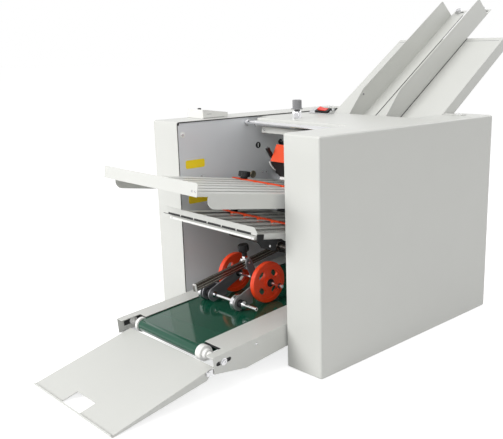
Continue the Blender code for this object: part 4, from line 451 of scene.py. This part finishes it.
# Power inlet: a moulded black three-pin mains socket, held to the rear wall by two countersunk
# screws. The three nickel blades stand in its pocket. The photograph shows no cord.
black_plastic = finish_of("black_plastic", (0.008, 0.008, 0.009), 0.40, grain=0.10, grain_scale=700.0,
                          specular=0.25)
dress("power_inlet", black_plastic, edge=0.0006)
INLET_LOW, INLET_HIGH = map(Vector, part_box("power_inlet"))
inlet_middle = (INLET_LOW + INLET_HIGH) / 2
INLET_SCREW_HEIGHT = 0.060
blades = bmesh.new()
for place_x, place_z in ((-0.0065, -0.0015), (0.0065, -0.0015), (0, 0.0030)):
    face = Matrix.Translation((inlet_middle.x + place_x, INLET_HIGH.y, inlet_middle.z + place_z))
    block(blades, face, (-0.0010, -0.0152, -0.0020), (0.0010, -0.0030, 0.0020))
for place_x in (-0.020, 0.020):
    face = Matrix.Translation((inlet_middle.x + place_x, INLET_HIGH.y, INLET_SCREW_HEIGHT))
    screw_head(blades, face @ TO_REAR, radius=0.0026, height=0.0006)
add_piece("inlet_blades", blades, steel, "frame")

# Top cover, grip rod and cross plate: a folded sheet lies between the covers, with a chromed rod
# along its front edge to lift it by, and a narrow folded plate below that stiffens the side plates.
chrome = finish_of("chrome_plate", (0.80, 0.80, 0.81), 0.10, metallic=1.0, grain=0.01)
dress("top_cover", cover_coat, edge=0.0005)
dress("cross_plate", cover_coat, edge=0.0004)
dress("grip_rod", chrome, edge=0.0004)


def cross_axis(low, high):
    """Frame on the axis of a turned part that lies across the machine between two corners"""
    return Matrix.Translation((0, (low[1] + high[1]) / 2, (low[2] + high[2]) / 2))


rod_ends = bmesh.new()
rod_axis = cross_axis(*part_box("grip_rod"))
ROD_COLLAR_PROFILE = [(0.0062, 0), (0.0078, 0.0004), (0.0078, 0.0036), (0.0062, 0.0042)]
for along in (PLATE_INSIDE, -0.1500, 0.176):
    lathe(rod_ends, rod_axis @ Matrix.Translation((along, 0, 0)) @ TO_RIGHT, ROD_COLLAR_PROFILE)
add_piece("grip_rod_collars", rod_ends, chrome, "frame")
cross_screws = bmesh.new()
for place_x in (-0.140, 0.170):
    screw_head(cross_screws, at(place_x, 0.2350, 0.4668) @ TO_FRONT, radius=0.0028, height=0.0018)
add_piece("cross_plate_screws", cross_screws, steel, "frame")

# Speed knob: a grey moulded cap with a knurled rim over a thin skirt, on a fluted chrome collar
# that covers the control's nut. A line on the cap shows where it points.
grey_plastic = finish_of("grey_plastic", (0.25, 0.25, 0.26), 0.45, grain=0.12)
KNOB_LOW, KNOB_HIGH = map(Vector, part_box("speed_knob"))
knob_foot = Matrix.Translation(((KNOB_LOW.x + KNOB_HIGH.x) / 2, (KNOB_LOW.y + KNOB_HIGH.y) / 2, KNOB_LOW.z))
KNOB_TALL = KNOB_HIGH.z - KNOB_LOW.z
KNOB_CAP_PROFILE = [(0.0150, 0.0220), (0.0150, 0.0236), (0.0117, 0.0242), (0.0115, 0.0262),
                    (0.0115, KNOB_TALL - 0.0015), (0.0100, KNOB_TALL), (0.0070, KNOB_TALL)]
KNOB_COLLAR_PROFILE = [(0.0098, 0), (0.0108, 0.0012), (0.0108, 0.0150), (0.0085, 0.0180), (0.0060, 0.0219)]
knob_cap = bmesh.new()
lathe(knob_cap, knob_foot, KNOB_CAP_PROFILE, steps=64, flutes=(3, 4), depth=0.0010)
cap = add_piece("speed_knob_cap", knob_cap, grey_plastic, "speed_knob")
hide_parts("speed_knob")
dress("speed_knob", grey_plastic)
knob_collar = bmesh.new()
lathe(knob_collar, knob_foot, KNOB_COLLAR_PROFILE, steps=48, flutes=(1, 2, 3, 4), depth=0.0022)
add_piece("speed_knob_collar", knob_collar, chrome, "speed_knob")
knob_line = bmesh.new()
block(knob_line, knob_foot, (-0.0006, -0.0098, KNOB_TALL - 0.0001), (0.0006, -0.0030, KNOB_TALL))
add_piece("speed_knob_line", knob_line, white_nylon, "speed_knob")

# Power switch: a glossy red rocker in a black moulded bezel, snapped into a small console bent
# from bright sheet and screwed to the top cover by two screws.
red_plastic = finish_of("red_plastic", (0.78, 0.035, 0.018), 0.20, grain=0.02, coat=0.4)
dress("switch_console", steel, edge=0.0004)
dress("switch_bezel", black_plastic, edge=0.0006)
dress("power_rocker", red_plastic, edge=0.0006)
CONSOLE_LOW, CONSOLE_HIGH = map(Vector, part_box("switch_console"))
CONSOLE_LIP = 0.002
CONSOLE_SCREW_UP = 0.014
console_tilt = math.atan2(CONSOLE_HIGH.z - CONSOLE_LOW.z - CONSOLE_LIP, CONSOLE_HIGH.y - CONSOLE_LOW.y)
console_face = (Matrix.Translation((CONSOLE_LOW.x, CONSOLE_LOW.y, CONSOLE_LOW.z + CONSOLE_LIP))
                @ Matrix.Rotation(console_tilt, 4, "X"))
console_screws = bmesh.new()
for along in (0.005, 0.0695):
    screw_place = console_face @ Matrix.Translation((along, CONSOLE_SCREW_UP, 0))
    screw_head(console_screws, screw_place, radius=0.0020, height=0.0012)
add_piece("console_screws", console_screws, steel, "frame")

# Sheet counter: a moulded off-white box on the left cover with a black reset button. Its sloped
# roof has a dark window, bare here, and a joint line runs round its foot.
white_plastic = finish_of("white_plastic", (0.80, 0.80, 0.77), 0.40, grain=0.10)
dress("counter_box", white_plastic, edge=0.0012, segments=3)
dress("counter_reset_button", black_plastic, edge=0.0005)
BOX_LOW, BOX_HIGH = map(Vector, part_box("counter_box"))
ROOF_DROP = 0.010
roof_fall = math.atan2(ROOF_DROP, BOX_HIGH.y - BOX_LOW.y)
roof = Matrix.Translation((BOX_LOW.x, BOX_LOW.y, BOX_HIGH.z)) @ Matrix.Rotation(-roof_fall, 4, "X")
dark_glass = finish_of("dark_glass", (0.03, 0.03, 0.035), 0.08, coat=0.8)
counter_window = bmesh.new()
block(counter_window, roof, (0.014, 0.030, -0.0004), (0.050, 0.046, 0.0003))
add_piece("counter_window", counter_window, dark_glass, "frame", edge=0.0002)
box_side = Matrix.Translation((BOX_HIGH.x, BOX_LOW.y, BOX_LOW.z))
counter_side = bmesh.new()
block(counter_side, box_side, (-0.0002, 0.002, 0.0012), (0.0003, 0.066, 0.0020))
block(counter_side, box_side, (-0.0002, 0.012, 0.0100), (0.0003, 0.026, 0.0108))
add_piece("counter_joint_lines", counter_side, grey_plastic, "frame")

# Feed tray: a broad sheet, bent down along both sides and coated like the covers. Its two tabs
# are screwed to the covers' tops, its low end meets the feed roller, and a fine grey line of
# painted shade marks the bend at its high end.
COVER_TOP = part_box("left_side_cover")[1][2]
FEED = sloped(0.575, COVER_TOP + 0.016, 33.8)
dress("feed_tray", cover_coat, edge=0.0005)
TAB_SCREW_X = 0.2200
TAB_TOP = COVER_TOP + 0.0018
tray_screws = bmesh.new()
for side in (-1, 1):
    for place_y in (0.5555, 0.5685):
        screw_head(tray_screws, at(side * TAB_SCREW_X, place_y, TAB_TOP), radius=0.0030, height=0.0020)
add_piece("feed_tray_screws", tray_screws, steel, "frame")
# Painted shade: a fine grey line along the tray's bend.
bend_shade = bmesh.new()
block(bend_shade, FEED, (-0.1700, 0.2990, -0.0001), (0.1700, 0.3004, 0.0001))
add_piece("feed_tray_bend_shade", bend_shade, grey_plastic, "frame")

# Paper guides: two bent sheets that slide across the feed tray and are held by thumb nuts at
# their upper ends. Each nut is a turned steel drum with a knurled rim over a short slot, drawn as
# a dark strip of painted shade, and a dark strip of painted contact shadow runs along the foot of
# each guide's wall.
GUIDE_HALF_THICK = 0.00075
NUT_IN = 0.0205
NUT_Y = 0.452
NUT_PROFILE = [(0.0086, 0), (0.0090, 0.0008), (0.0090, 0.0085), (0.0080, 0.0100), (0.0040, 0.0100),
               (0.0036, 0.0086)]
for side, wall_x, inward, facing, shade_x, shade_end in (
        ("left", -0.064, 1, TO_RIGHT, -0.0229, 0.4370),
        ("right", 0.061, -1, TO_LEFT, 0.0618, 0.3120)):
    dress(f"{side}_paper_guide", cover_coat, edge=0.0004)
    guide_screw = bmesh.new()
    face = FEED @ Matrix.Translation((wall_x + inward * GUIDE_HALF_THICK, -0.022, 0.049)) @ facing
    screw_head(guide_screw, face, radius=0.0028, height=0.0010)
    add_piece(f"{side}_guide_screw", guide_screw, grey_plastic, f"{side}_guide")
    # Painted contact shadow: a dark strip along the foot of the guide's wall.
    guide_shade = bmesh.new()
    block(guide_shade, FEED, (shade_x, -0.1190, 0.0002), (shade_x + 0.0010, shade_end, 0.0014))
    add_piece(f"{side}_guide_shade", guide_shade, black_and_painted_shade, f"{side}_guide")
    # Painted shade: a dark strip in the slot under the thumb nut.
    guide_slot_shade = bmesh.new()
    knob_x = wall_x + inward * NUT_IN
    slot_place = FEED @ Matrix.Translation((knob_x, NUT_Y, 0.0018))
    block(guide_slot_shade, slot_place, (-0.0155, -0.0022, 0), (0.0155, 0.0022, 0.0002))
    add_piece(f"{side}_guide_slot_shade", guide_slot_shade, black_and_painted_shade, f"{side}_guide")
    thumb_nut = bmesh.new()
    nut_place = FEED @ Matrix.Translation((knob_x, NUT_Y, 0.0021))
    lathe(thumb_nut, nut_place, NUT_PROFILE, steps=48, flutes=(1, 2), depth=0.0008)
    nut = add_piece(f"{side}_thumb_nut", thumb_nut, steel, f"{side}_guide_knob")
    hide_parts(f"{side}_guide_knob")
    dress(f"{side}_guide_knob", steel)

# Feed roller and infeed chute: a ground rubber drum on a steel shaft takes the top sheet, and a
# bent sheet below leads it down to the first pair of fold rollers.
rubber = finish_of("black_rubber", (0.030, 0.030, 0.032), 0.62, grain=0.16, grain_scale=1400.0)
dress("feed_roller", rubber, edge=0.0005)
dress("infeed_chute", cover_coat, edge=0.0004)
feed_axis = cross_axis(*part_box("feed_roller"))
for name, low, high in (("left", -0.1838, -0.0404), ("right", 0.0404, 0.1838)):
    sleeve_profile = [(0.0058, low), (0.00615, low + 0.0004), (0.00615, high - 0.0004), (0.0058, high)]
    sleeve = bmesh.new()
    lathe(sleeve, feed_axis @ TO_RIGHT, sleeve_profile)
    add_piece(f"feed_shaft_{name}", sleeve, steel, "feed_roller")

# Fold rollers: six steel shafts with ground rubber covers, turned together by the gears on their
# right ends. Fine turning marks run round the rubber, and a steel collar stands at each end.
rubber_turned = finish_of("turned_rubber", (0.030, 0.030, 0.032), 0.50, grain=0.20, grain_scale=1800.0,
                          stretch=(1.0, 0.05, 0.05))
LEFT_COLLAR_PROFILE = [(0.0100, -0.1605), (0.0112, -0.1601), (0.0112, -0.1582), (0.0100, -0.1581)]
RIGHT_COLLAR_PROFILE = [(0.0100, 0.1581), (0.0112, 0.1582), (0.0112, 0.1601), (0.0100, 0.1605)]
FOLD_ROLLERS = 6
for step in range(1, FOLD_ROLLERS + 1):
    dress(f"fold_roller_{step}", rubber_turned, edge=0.0004)
    axis = cross_axis(*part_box(f"fold_roller_{step}"))
    collars = bmesh.new()
    for profile in (LEFT_COLLAR_PROFILE, RIGHT_COLLAR_PROFILE):
        lathe(collars, axis @ TO_RIGHT, profile)
    add_piece(f"roller_{step}_collars", collars, steel, f"fold_roller_{step}")

# Front fold plates: each is a pocket of two slotted sheets, spot welded along the sides and coated
# off-white, with a bent lip in front. Small screws hold the lips, the lower plate's front rail has
# a white face, and dark strips behind its lip are painted shade in its slots and over the rail.
FOLD_PLATE_SLOPE = -8.6
UPPER = sloped(0.147, 0.3520, FOLD_PLATE_SLOPE)
LOWER = sloped(0.112, 0.2755, FOLD_PLATE_SLOPE)
dress("upper_front_fold_plate", cover_coat, edge=0.0004)
dress("lower_front_fold_plate", cover_coat, edge=0.0004)
lip_screws = bmesh.new()
for place_x in (0.150, 0.160):
    screw_place = UPPER @ Matrix.Translation((place_x, -0.3548, 0.0030)) @ TO_FRONT
    screw_head(lip_screws, screw_place, radius=0.0021, height=0.0014)
for place_x in (-0.120, 0.155):
    screw_place = LOWER @ Matrix.Translation((place_x, -0.1810, -0.0095)) @ TO_FRONT
    screw_head(lip_screws, screw_place, radius=0.0016, height=0.0010)
add_piece("fold_plate_screws", lip_screws, steel, "frame")
rail_edge = bmesh.new()
block(rail_edge, LOWER, (-0.1278, -0.1813, -0.0118), (0.1628, -0.1810, -0.0072))
add_piece("lower_rail_face", rail_edge, white_nylon, "frame")
LIP_SLOTS = 6
LIP_SLOT_PITCH = 0.049
LIP_SLOT_HALF = 0.0229
# Painted shade: dark strips in the lip's slots, and one along the top of the rail.
slot_shade = bmesh.new()
for number in range(LIP_SLOTS):
    middle = (number - (LIP_SLOTS - 1) / 2) * LIP_SLOT_PITCH
    block(slot_shade, LOWER, (middle - LIP_SLOT_HALF, -0.1742, -0.0041),
          (middle + LIP_SLOT_HALF, -0.1738, -0.0001))
block(slot_shade, LOWER, (-0.1640, -0.1749, -0.0047), (0.1640, -0.1748, -0.0036))
add_piece("lower_lip_slot_shade", slot_shade, black_and_painted_shade, "frame")

# Rear fold plates: two plain pockets under the feed side that take the second and fourth folds.
for name in ("upper_rear_fold_plate", "lower_rear_fold_plate"):
    dress(name, cover_coat, edge=0.0004)

# Stop bars and their knobs: a comb in orange paint runs across each front fold plate, its fingers
# through the plate's slots, and a black ribbed knob at its left end clamps it.
orange_coat = finish_of("orange_coat", (0.70, 0.058, 0.005), 0.50, grain=0.05, edge_highlight=0.10, specular=0.15)
STOP_KNOB_X = -0.121
STOP_KNOB_PROFILE = [(0.0088, 0), (0.0090, 0.0048), (0.0140, 0.0052), (0.0145, 0.0062), (0.0145, 0.0162),
                     (0.0128, 0.0180), (0.0060, 0.0180)]
PLUG_PROFILE = [(0.0058, 0), (0.0058, 0.0001), (0.0030, 0.0001)]
for side, place in (("upper", UPPER), ("lower", LOWER)):
    dress(f"{side}_stop_bar", orange_coat, edge=0.0003)
    stop_knob = bmesh.new()
    grip_place = place @ Matrix.Translation((STOP_KNOB_X, 0, 0.0033))
    lathe(stop_knob, grip_place, STOP_KNOB_PROFILE, steps=36, flutes=(3, 4), depth=0.0016)
    knob = add_piece(f"{side}_stop_knob_grip", stop_knob, black_plastic, f"{side}_stop_knob")
    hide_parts(f"{side}_stop_knob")
    dress(f"{side}_stop_knob", black_plastic)
    knob_face = bmesh.new()
    lathe(knob_face, place @ Matrix.Translation((STOP_KNOB_X, 0, 0.0212)), PLUG_PROFILE)
    add_piece(f"{side}_stop_knob_plug", knob_face, grey_plastic, f"{side}_stop_knob")

# Catch of the lower front fold plate: a stamped black lever on the plate's right flange that
# hooks the plate to the right side plate. One bright screw holds it.
dress("lower_plate_catch", black_plastic, edge=0.0004)
CATCH_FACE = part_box("lower_plate_catch")[1][0]
catch_screw = bmesh.new()
screw_place = LOWER @ Matrix.Translation((CATCH_FACE, -0.142, -0.0250)) @ TO_RIGHT
screw_head(catch_screw, screw_place, radius=0.0024, height=0.0014)
add_piece("catch_screw", catch_screw, steel, "frame")

# Feeder: the black moulded housing that presses the sheet on its way in, behind an orange sheet
# guard. A ring knob stands at its left, with a small black lever in front of it, and a white strip
# and foot under its chin lead the paper.
dress("feeder_body", black_plastic, edge=0.0006)
dress("feed_guard", orange_coat, edge=0.0004)
RING_KNOB_YZ = (0.1892, 0.4496)
RING_KNOB_PROFILE = [(0.0030, -0.030), (0.0030, 0), (0.0056, 0.0004), (0.0064, 0.0018),
                     (0.0056, 0.0034), (0.0030, 0.0036)]
RING_FACE_PROFILE = [(0.0030, 0), (0.0030, 0.0005), (0.0022, 0.0008)]
ring_knob = bmesh.new()
lathe(ring_knob, at(-0.0302, *RING_KNOB_YZ) @ TO_LEFT, RING_KNOB_PROFILE)
add_piece("feeder_ring_knob", ring_knob, black_plastic, "frame")
ring_face = bmesh.new()
lathe(ring_face, at(-0.0340, *RING_KNOB_YZ) @ TO_LEFT, RING_FACE_PROFILE, steps=20)
add_piece("feeder_ring_face", ring_face, white_nylon, "frame")
lever = bmesh.new()
LEVER_TURN = math.radians(-57)
lever_place = at(-0.0345, 0.1565, 0.4265) @ Matrix.Rotation(LEVER_TURN, 4, "X")
block(lever, lever_place, (-0.0035, -0.0135, -0.0042), (0.0035, 0.0135, 0.0042))
add_piece("feeder_lever", lever, black_plastic, "frame", edge=0.0008)
stripe = bmesh.new()
block(stripe, lever_place, (-0.0012, -0.0130, 0.0040), (0.0012, 0.0130, 0.0046))
add_piece("feeder_lever_stripe", stripe, white_nylon, "frame")
chin = bmesh.new()
STRIP_PATH = [(0.1508, 0.4050), (0.1560, 0.3955), (0.1640, 0.3870), (0.1700, 0.3835)]
STRIP_OVERLAP = 0.0003
for (near_y, near_z), (far_y, far_z) in zip(STRIP_PATH, STRIP_PATH[1:]):
    run = Vector((0, far_y - near_y, far_z - near_z))
    step_place = at(0, near_y, near_z) @ Matrix.Rotation(math.atan2(run.z, run.y), 4, "X")
    block(chin, step_place, (-0.0306, -STRIP_OVERLAP, -0.0008),
          (-0.0280, run.length + STRIP_OVERLAP, 0.0006))
add_piece("feeder_chin_strip", chin, white_nylon, "frame", edge=0.0002)
FOOT_OUTLINE = [(0.1830, 0.3660), (0.2050, 0.3660), (0.2050, 0.3535), (0.1900, 0.3535), (0.1800, 0.3600)]
FOOT_WIDE = 0.045
foot = bmesh.new()
foot_place = at(-0.0280, 0, 0) @ TO_RIGHT @ Matrix.Rotation(math.pi / 2, 4, "Z")
prism(foot, foot_place, FOOT_OUTLINE, 0, FOOT_WIDE)
add_piece("feeder_foot", foot, white_nylon, "frame", edge=0.0008)

# Conveyor rails: two long sheets in the covers' coat, bent down on their outer sides, that carry
# the belt's rollers between them. Their front ends are notched for the white end discs, and the
# front roller's bright end screw moves in a slot of each web, which sets the belt's tension.
BELT = sloped(0, 0.0955, 4.3)
for side in ("left", "right"):
    dress(f"{side}_conveyor_rail", cover_coat, edge=0.0005)
FRONT_ROLLER_YZ = (-0.1696, -0.0170)
WEB_THICK = 0.0024
SLOT_BACK_THICK = 0.0008
NOTCH_LINE_HALF = 0.0004
END_SCREW_PROFILE = [(0.0075, -0.0002), (0.0075, 0.0008), (0.0050, 0.0012), (0.0050, 0.0034),
                     (0.0040, 0.0040), (0.0022, 0.0040), (0.0020, 0.0024)]
fittings = bmesh.new()
gap_shade = bmesh.new()
for face_x, outward, turn in ((0.178, 1, TO_RIGHT), (-0.155, -1, TO_LEFT)):
    lathe(fittings, BELT @ Matrix.Translation((face_x, *FRONT_ROLLER_YZ)) @ turn, END_SCREW_PROFILE)
    for along in (-0.085, 0.045):
        screw_place = BELT @ Matrix.Translation((face_x, along, -0.0120)) @ turn
        screw_head(fittings, screw_place, radius=0.0026, height=0.0014)
    # Painted shade: a dark strip behind each web's slot.
    back = face_x - outward * WEB_THICK
    low_x, high_x = sorted((back, back - outward * SLOT_BACK_THICK))
    block(gap_shade, BELT, (low_x, -0.1930, -0.0225), (high_x, -0.1460, -0.0115))
add_piece("rail_fittings", fittings, steel, "frame")
# Painted shade: a dark line across the rear of each notch.
for low_x, high_x, rear_y in ((0.1035, 0.1558, -0.1566), (-0.1323, -0.1092, -0.1606)):
    block(gap_shade, BELT, (low_x, rear_y - NOTCH_LINE_HALF, -0.0060),
          (high_x, rear_y + NOTCH_LINE_HALF, -0.0003))
add_piece("rail_gap_shade", gap_shade, black_and_painted_shade, "frame")

# Conveyor bed: a bright flat sheet under the belt's upper run, with lugs for the delivery tray.
dress("conveyor_bed", steel, edge=0.0003)

# Conveyor belt: a seamless green coated belt with a gloss that shows the machine above it. It has
# faint lengthwise wear and a welded joint across its upper run.
belt_green = finish_of("belt_green", (0.006, 0.075, 0.042), 0.12, mottle=0.22, mottle_scale=14.0, grain=0.04,
                       grain_scale=260.0, stretch=(6.0, 0.15, 1.0), coat=0.25, specular=0.35)
dress("conveyor_belt", belt_green)
belt_joint_green = finish_of("belt_joint_green", (0.020, 0.095, 0.060), 0.30)
BELT_TOP = -0.0030
JOINT_SKEW = math.radians(6)
joint_line = bmesh.new()
joint_place = BELT @ Matrix.Translation((0, -0.120, BELT_TOP)) @ Matrix.Rotation(JOINT_SKEW, 4, "Z")
block(joint_line, joint_place, (-0.1000, -0.0004, -0.0004), (0.0940, 0.0004, 0.00004))
add_piece("belt_joint", joint_line, belt_joint_green, "frame")

# Conveyor rollers: the front one is a white moulded drum with a raised disc at each end that
# keeps the belt in line, and the drive roller at the rear is ground steel.
dress("conveyor_front_roller", white_nylon, edge=0.0006)
dress("conveyor_drive_roller", steel, edge=0.0004)
roller_axis = BELT @ Matrix.Translation((0, *FRONT_ROLLER_YZ)) @ TO_RIGHT
BUSH_BORE = 0.0041
BUSH_EDGE = 0.0008
bushes = bmesh.new()
for low, high, wide in ((0.1198, 0.1300, 0.0115), (0.1300, 0.1500, 0.0075), (0.1700, 0.1758, 0.0090),
                        (-0.1262, -0.1178, 0.0115), (-0.1528, -0.1470, 0.0090)):
    lathe(bushes, roller_axis, [(BUSH_BORE, low), (wide - BUSH_EDGE, low), (wide, low + BUSH_EDGE),
                                (wide, high - BUSH_EDGE), (wide - BUSH_EDGE, high), (BUSH_BORE, high)])
add_piece("front_roller_bushes", bushes, white_nylon, "conveyor_front_roller")

# Delivery tray: a sheet that hinges on the bed's lugs and lies down to the table. Its front edge
# is bent up into a bright lip, its sides are bent down, and a window lets a finger under the paper.
dress("paper_tray", cover_coat, edge=0.0006)


def joint_axis(name):
    """Frame in the machine's middle, on the axis of a joint that turns across it"""
    place = [joint for joint in frame["joints"] if joint["name"] == name][0]["pos_m"]
    return Matrix.Translation((0, place[1], place[2]))


hinge_axis = joint_axis("paper_tray_fold")
TRAY_LOW, TRAY_HIGH = map(Vector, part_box("paper_tray"))
HINGE_CAP_PROFILE = [(0.0030, 0), (0.0048, 0.0002), (0.0048, 0.0012), (0.0030, 0.0020)]
hinge_caps = bmesh.new()
for edge_x, turn in ((TRAY_HIGH.x, TO_RIGHT), (TRAY_LOW.x, TO_LEFT)):
    lathe(hinge_caps, hinge_axis @ Matrix.Translation((edge_x, 0, 0)) @ turn, HINGE_CAP_PROFILE, steps=20)
add_piece("tray_hinge_caps", hinge_caps, steel, "paper_tray")

# Guide bar: a flat bar on edge in dark bronze finish, with two thin lines of painted highlight along
# its upper face and two along its right side. It hangs over the belt from a rod between the side
# plates, and a white cap closes its front end.
BAR = sloped(0.048, 0.1870, 9.6)
bar_bronze = finish_of("bar_bronze", (0.085, 0.072, 0.058), 0.26, metallic=0.85, grain=0.08, mottle=0.12,
                       stretch=(1.0, 0.03, 1.0), edge_highlight=0.5)
dress("guide_bar", bar_bronze, edge=0.0007)
dress("bar_support_rod", bar_bronze, edge=0.0004)
highlight_lines = finish_of("highlight_lines", (0.42, 0.40, 0.34), 0.3, metallic=0.8)
BAR_X = -0.005
HIGHLIGHT_FRONT, HIGHLIGHT_BACK = -0.1440, 0.0850
# Painted highlights: thin light strips on the bar's top face and right side.
bar_highlights = bmesh.new()
for across in (-0.0018, 0.0018):
    block(bar_highlights, BAR, (BAR_X + across - 0.0003, HIGHLIGHT_FRONT, 0.0044),
          (BAR_X + across + 0.0003, HIGHLIGHT_BACK, 0.0046))
for high in (-0.0012, -0.0072):
    block(bar_highlights, BAR, (BAR_X + 0.0044, HIGHLIGHT_FRONT, high - 0.0006),
          (BAR_X + 0.0046, HIGHLIGHT_BACK, high + 0.0004))
add_piece("guide_bar_highlights", bar_highlights, highlight_lines, "frame")
bar_cap = bmesh.new()
block(bar_cap, BAR, (BAR_X - 0.0048, -0.1510, -0.0118), (BAR_X + 0.0048, -0.1462, 0.0048))
add_piece("guide_bar_cap", bar_cap, white_nylon, "frame", edge=0.0008)

# Clamp: a bright die-cast block that slides on the guide bar and carries the press unit, under a
# tall black ribbed knob that pins it. Two small screws stand on its top and a larger one in front.
dress("bar_clamp", chrome, edge=0.0007)
CLAMP_KNOB_PROFILE = [(0.0058, 0), (0.0060, 0.0085), (0.0085, 0.0102), (0.0122, 0.0135),
                      (0.0125, 0.0150), (0.0125, 0.0255), (0.0112, 0.0278), (0.0060, 0.0280)]
clamp_knob = bmesh.new()
lathe(clamp_knob, BAR @ Matrix.Translation((BAR_X, 0, 0.0148)), CLAMP_KNOB_PROFILE, steps=28,
      flutes=(3, 4, 5), depth=0.0014)
grip = add_piece("clamp_knob_grip", clamp_knob, black_plastic, "clamp_knob")
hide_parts("clamp_knob")
dress("clamp_knob", black_plastic)
clamp_screws = bmesh.new()
for along in (-0.0048, 0.0048):
    screw_place = BAR @ Matrix.Translation((BAR_X, along, 0.0085))
    screw_head(clamp_screws, screw_place, radius=0.0018, height=0.0012)
screw_place = BAR @ Matrix.Translation((BAR_X, -0.0075, 0)) @ TO_FRONT
screw_head(clamp_screws, screw_place, radius=0.0030, height=0.0020)
add_piece("clamp_screws", clamp_screws, steel, "clamp")

# Hanger plate and wheel axle: a grey stamped strap hangs from the clamp's pin and carries the
# polished axle of the two press wheels. Spring clips and a bright collar hold the axle.
hanger_grey = finish_of("hanger_grey", (0.13, 0.145, 0.16), 0.42, metallic=0.2, grain=0.05, edge_highlight=0.4)
black_steel = finish_of("blackened_steel", (0.030, 0.029, 0.029), 0.36, metallic=0.4, grain=0.05)
dress("hanger_plate", hanger_grey, edge=0.0004)
dress("wheel_axle", chrome, edge=0.0006)
axle = joint_axis("right_press_wheel_spin")
RING_BORE = 0.0041
CLIP_PROFILE = [(RING_BORE, 0), (0.0062, 0.0001), (0.0062, 0.0008), (RING_BORE, 0.0009)]
COLLAR_PROFILE = [(RING_BORE, 0), (0.0075, 0.0002), (0.0075, 0.0040), (RING_BORE, 0.0046)]
clips = bmesh.new()
for along in (0.0902, -0.0832):
    lathe(clips, axle @ Matrix.Translation((along, 0, 0)) @ TO_RIGHT, CLIP_PROFILE, steps=20)
lathe(clips, axle @ Matrix.Translation((0.0070, 0, 0)) @ TO_RIGHT, COLLAR_PROFILE)
add_piece("axle_clips", clips, black_steel, "hanger")

# Press wheels: orange moulded discs with four long holes, a rounded rim and a black hub bush. They
# rest on the belt by their own weight and flatten the folded sheets.
orange_plastic = finish_of("orange_plastic", (0.80, 0.052, 0.006), 0.38, grain=0.06, mottle=0.06, coat=0.10)
HUB_PROFILE = [(0.0095, -0.0028), (0.0095, 0.0004), (0.0080, 0.0010), (0.0080, 0.0044), (0.0068, 0.0052),
               (0.0044, 0.0052)]
for side, face_x in (("right", 0.0590), ("left", -0.0560)):
    dress(f"{side}_press_wheel", orange_plastic, edge=0.0008, segments=3)
    hub = bmesh.new()
    lathe(hub, axle @ Matrix.Translation((face_x, 0, 0)) @ TO_RIGHT, HUB_PROFILE, steps=28)
    add_piece(f"{side}_wheel_bush", hub, black_plastic, f"{side}_press_wheel")

# Press links and press shaft: a broad stamped plate on the right and a fork about the left wheel
# hang from the axle. They carry a polished shaft with two bright rings, set by black collars.
link_steel = finish_of("link_steel", (0.21, 0.208, 0.205), 0.36, metallic=0.35, grain=0.06, mottle=0.08,
                       edge_highlight=0.9)
# The fork's finish is the link steel made darker and bluer: painted shade.
shaded_fork_steel = finish_of("shaded_fork_steel", (0.15, 0.15, 0.165), 0.36, metallic=0.35, grain=0.06, mottle=0.08,
                       edge_highlight=0.9)
dress("right_link_arm", link_steel, edge=0.0005)
dress("left_link_arm", shaded_fork_steel, edge=0.0005)
dress("press_shaft", chrome, edge=0.0005)
press_shaft = joint_axis("press_shaft_spin")
SHAFT_RING_PROFILE = [(RING_BORE, 0), (0.0068, 0.0002), (0.0068, 0.0018), (RING_BORE, 0.0020)]
SHAFT_HOLE_PROFILE = [(0.0024, 0), (0.0024, 0.0002)]
shaft_collars = bmesh.new()
for low, long in ((0.0402, 0.0136), (-0.0752, 0.0186)):
    lathe(shaft_collars, press_shaft @ Matrix.Translation((low, 0, 0)) @ TO_RIGHT,
          [(0.0060, -0.0001), (0.0095, 0), (0.0095, long - 0.0002), (0.0060, long)])
add_piece("shaft_collars", shaft_collars, black_plastic, "press_shaft")
shaft_rings = bmesh.new()
for low in (0.0540, -0.0524):
    lathe(shaft_rings, press_shaft @ Matrix.Translation((low, 0, 0)) @ TO_RIGHT, SHAFT_RING_PROFILE)
add_piece("shaft_rings", shaft_rings, chrome, "press_shaft")
# Painted shade: a dark disc in the bore of the shaft's right end.
shaft_bore_shade = bmesh.new()
shaft_end = press_shaft @ Matrix.Translation((0.0960, 0, 0))
lathe(shaft_bore_shade, shaft_end @ TO_RIGHT, SHAFT_HOLE_PROFILE, steps=20)
add_piece("shaft_bore_shade", shaft_bore_shade, black_and_painted_shade, "press_shaft")

# Motor, its pulley and the drive belt: a grey painted drum with ribs on a bent foot, a turned
# steel pulley and a rubber belt up to the last fold roller, all behind the right cover.
motor_paint = finish_of("motor_paint", (0.30, 0.31, 0.32), 0.42, metallic=0.1, grain=0.10)
dress("motor", motor_paint, edge=0.0006)
dress("motor_pulley", steel, edge=0.0004)
dress("drive_belt", rubber, edge=0.0003)
RIBS = 10
FIRST_RIB_X = 0.044
RIB_PITCH = 0.0095
RIB_PROFILE = [(0.0440, 0), (0.0462, 0.0004), (0.0462, 0.0026), (0.0440, 0.0030)]
motor_ribs = bmesh.new()
for number in range(RIBS):
    rib_place = at(FIRST_RIB_X + RIB_PITCH * number, 0.420, 0.064) @ TO_RIGHT
    lathe(motor_ribs, rib_place, RIB_PROFILE, steps=48)
add_piece("motor_ribs", motor_ribs, motor_paint, "frame")
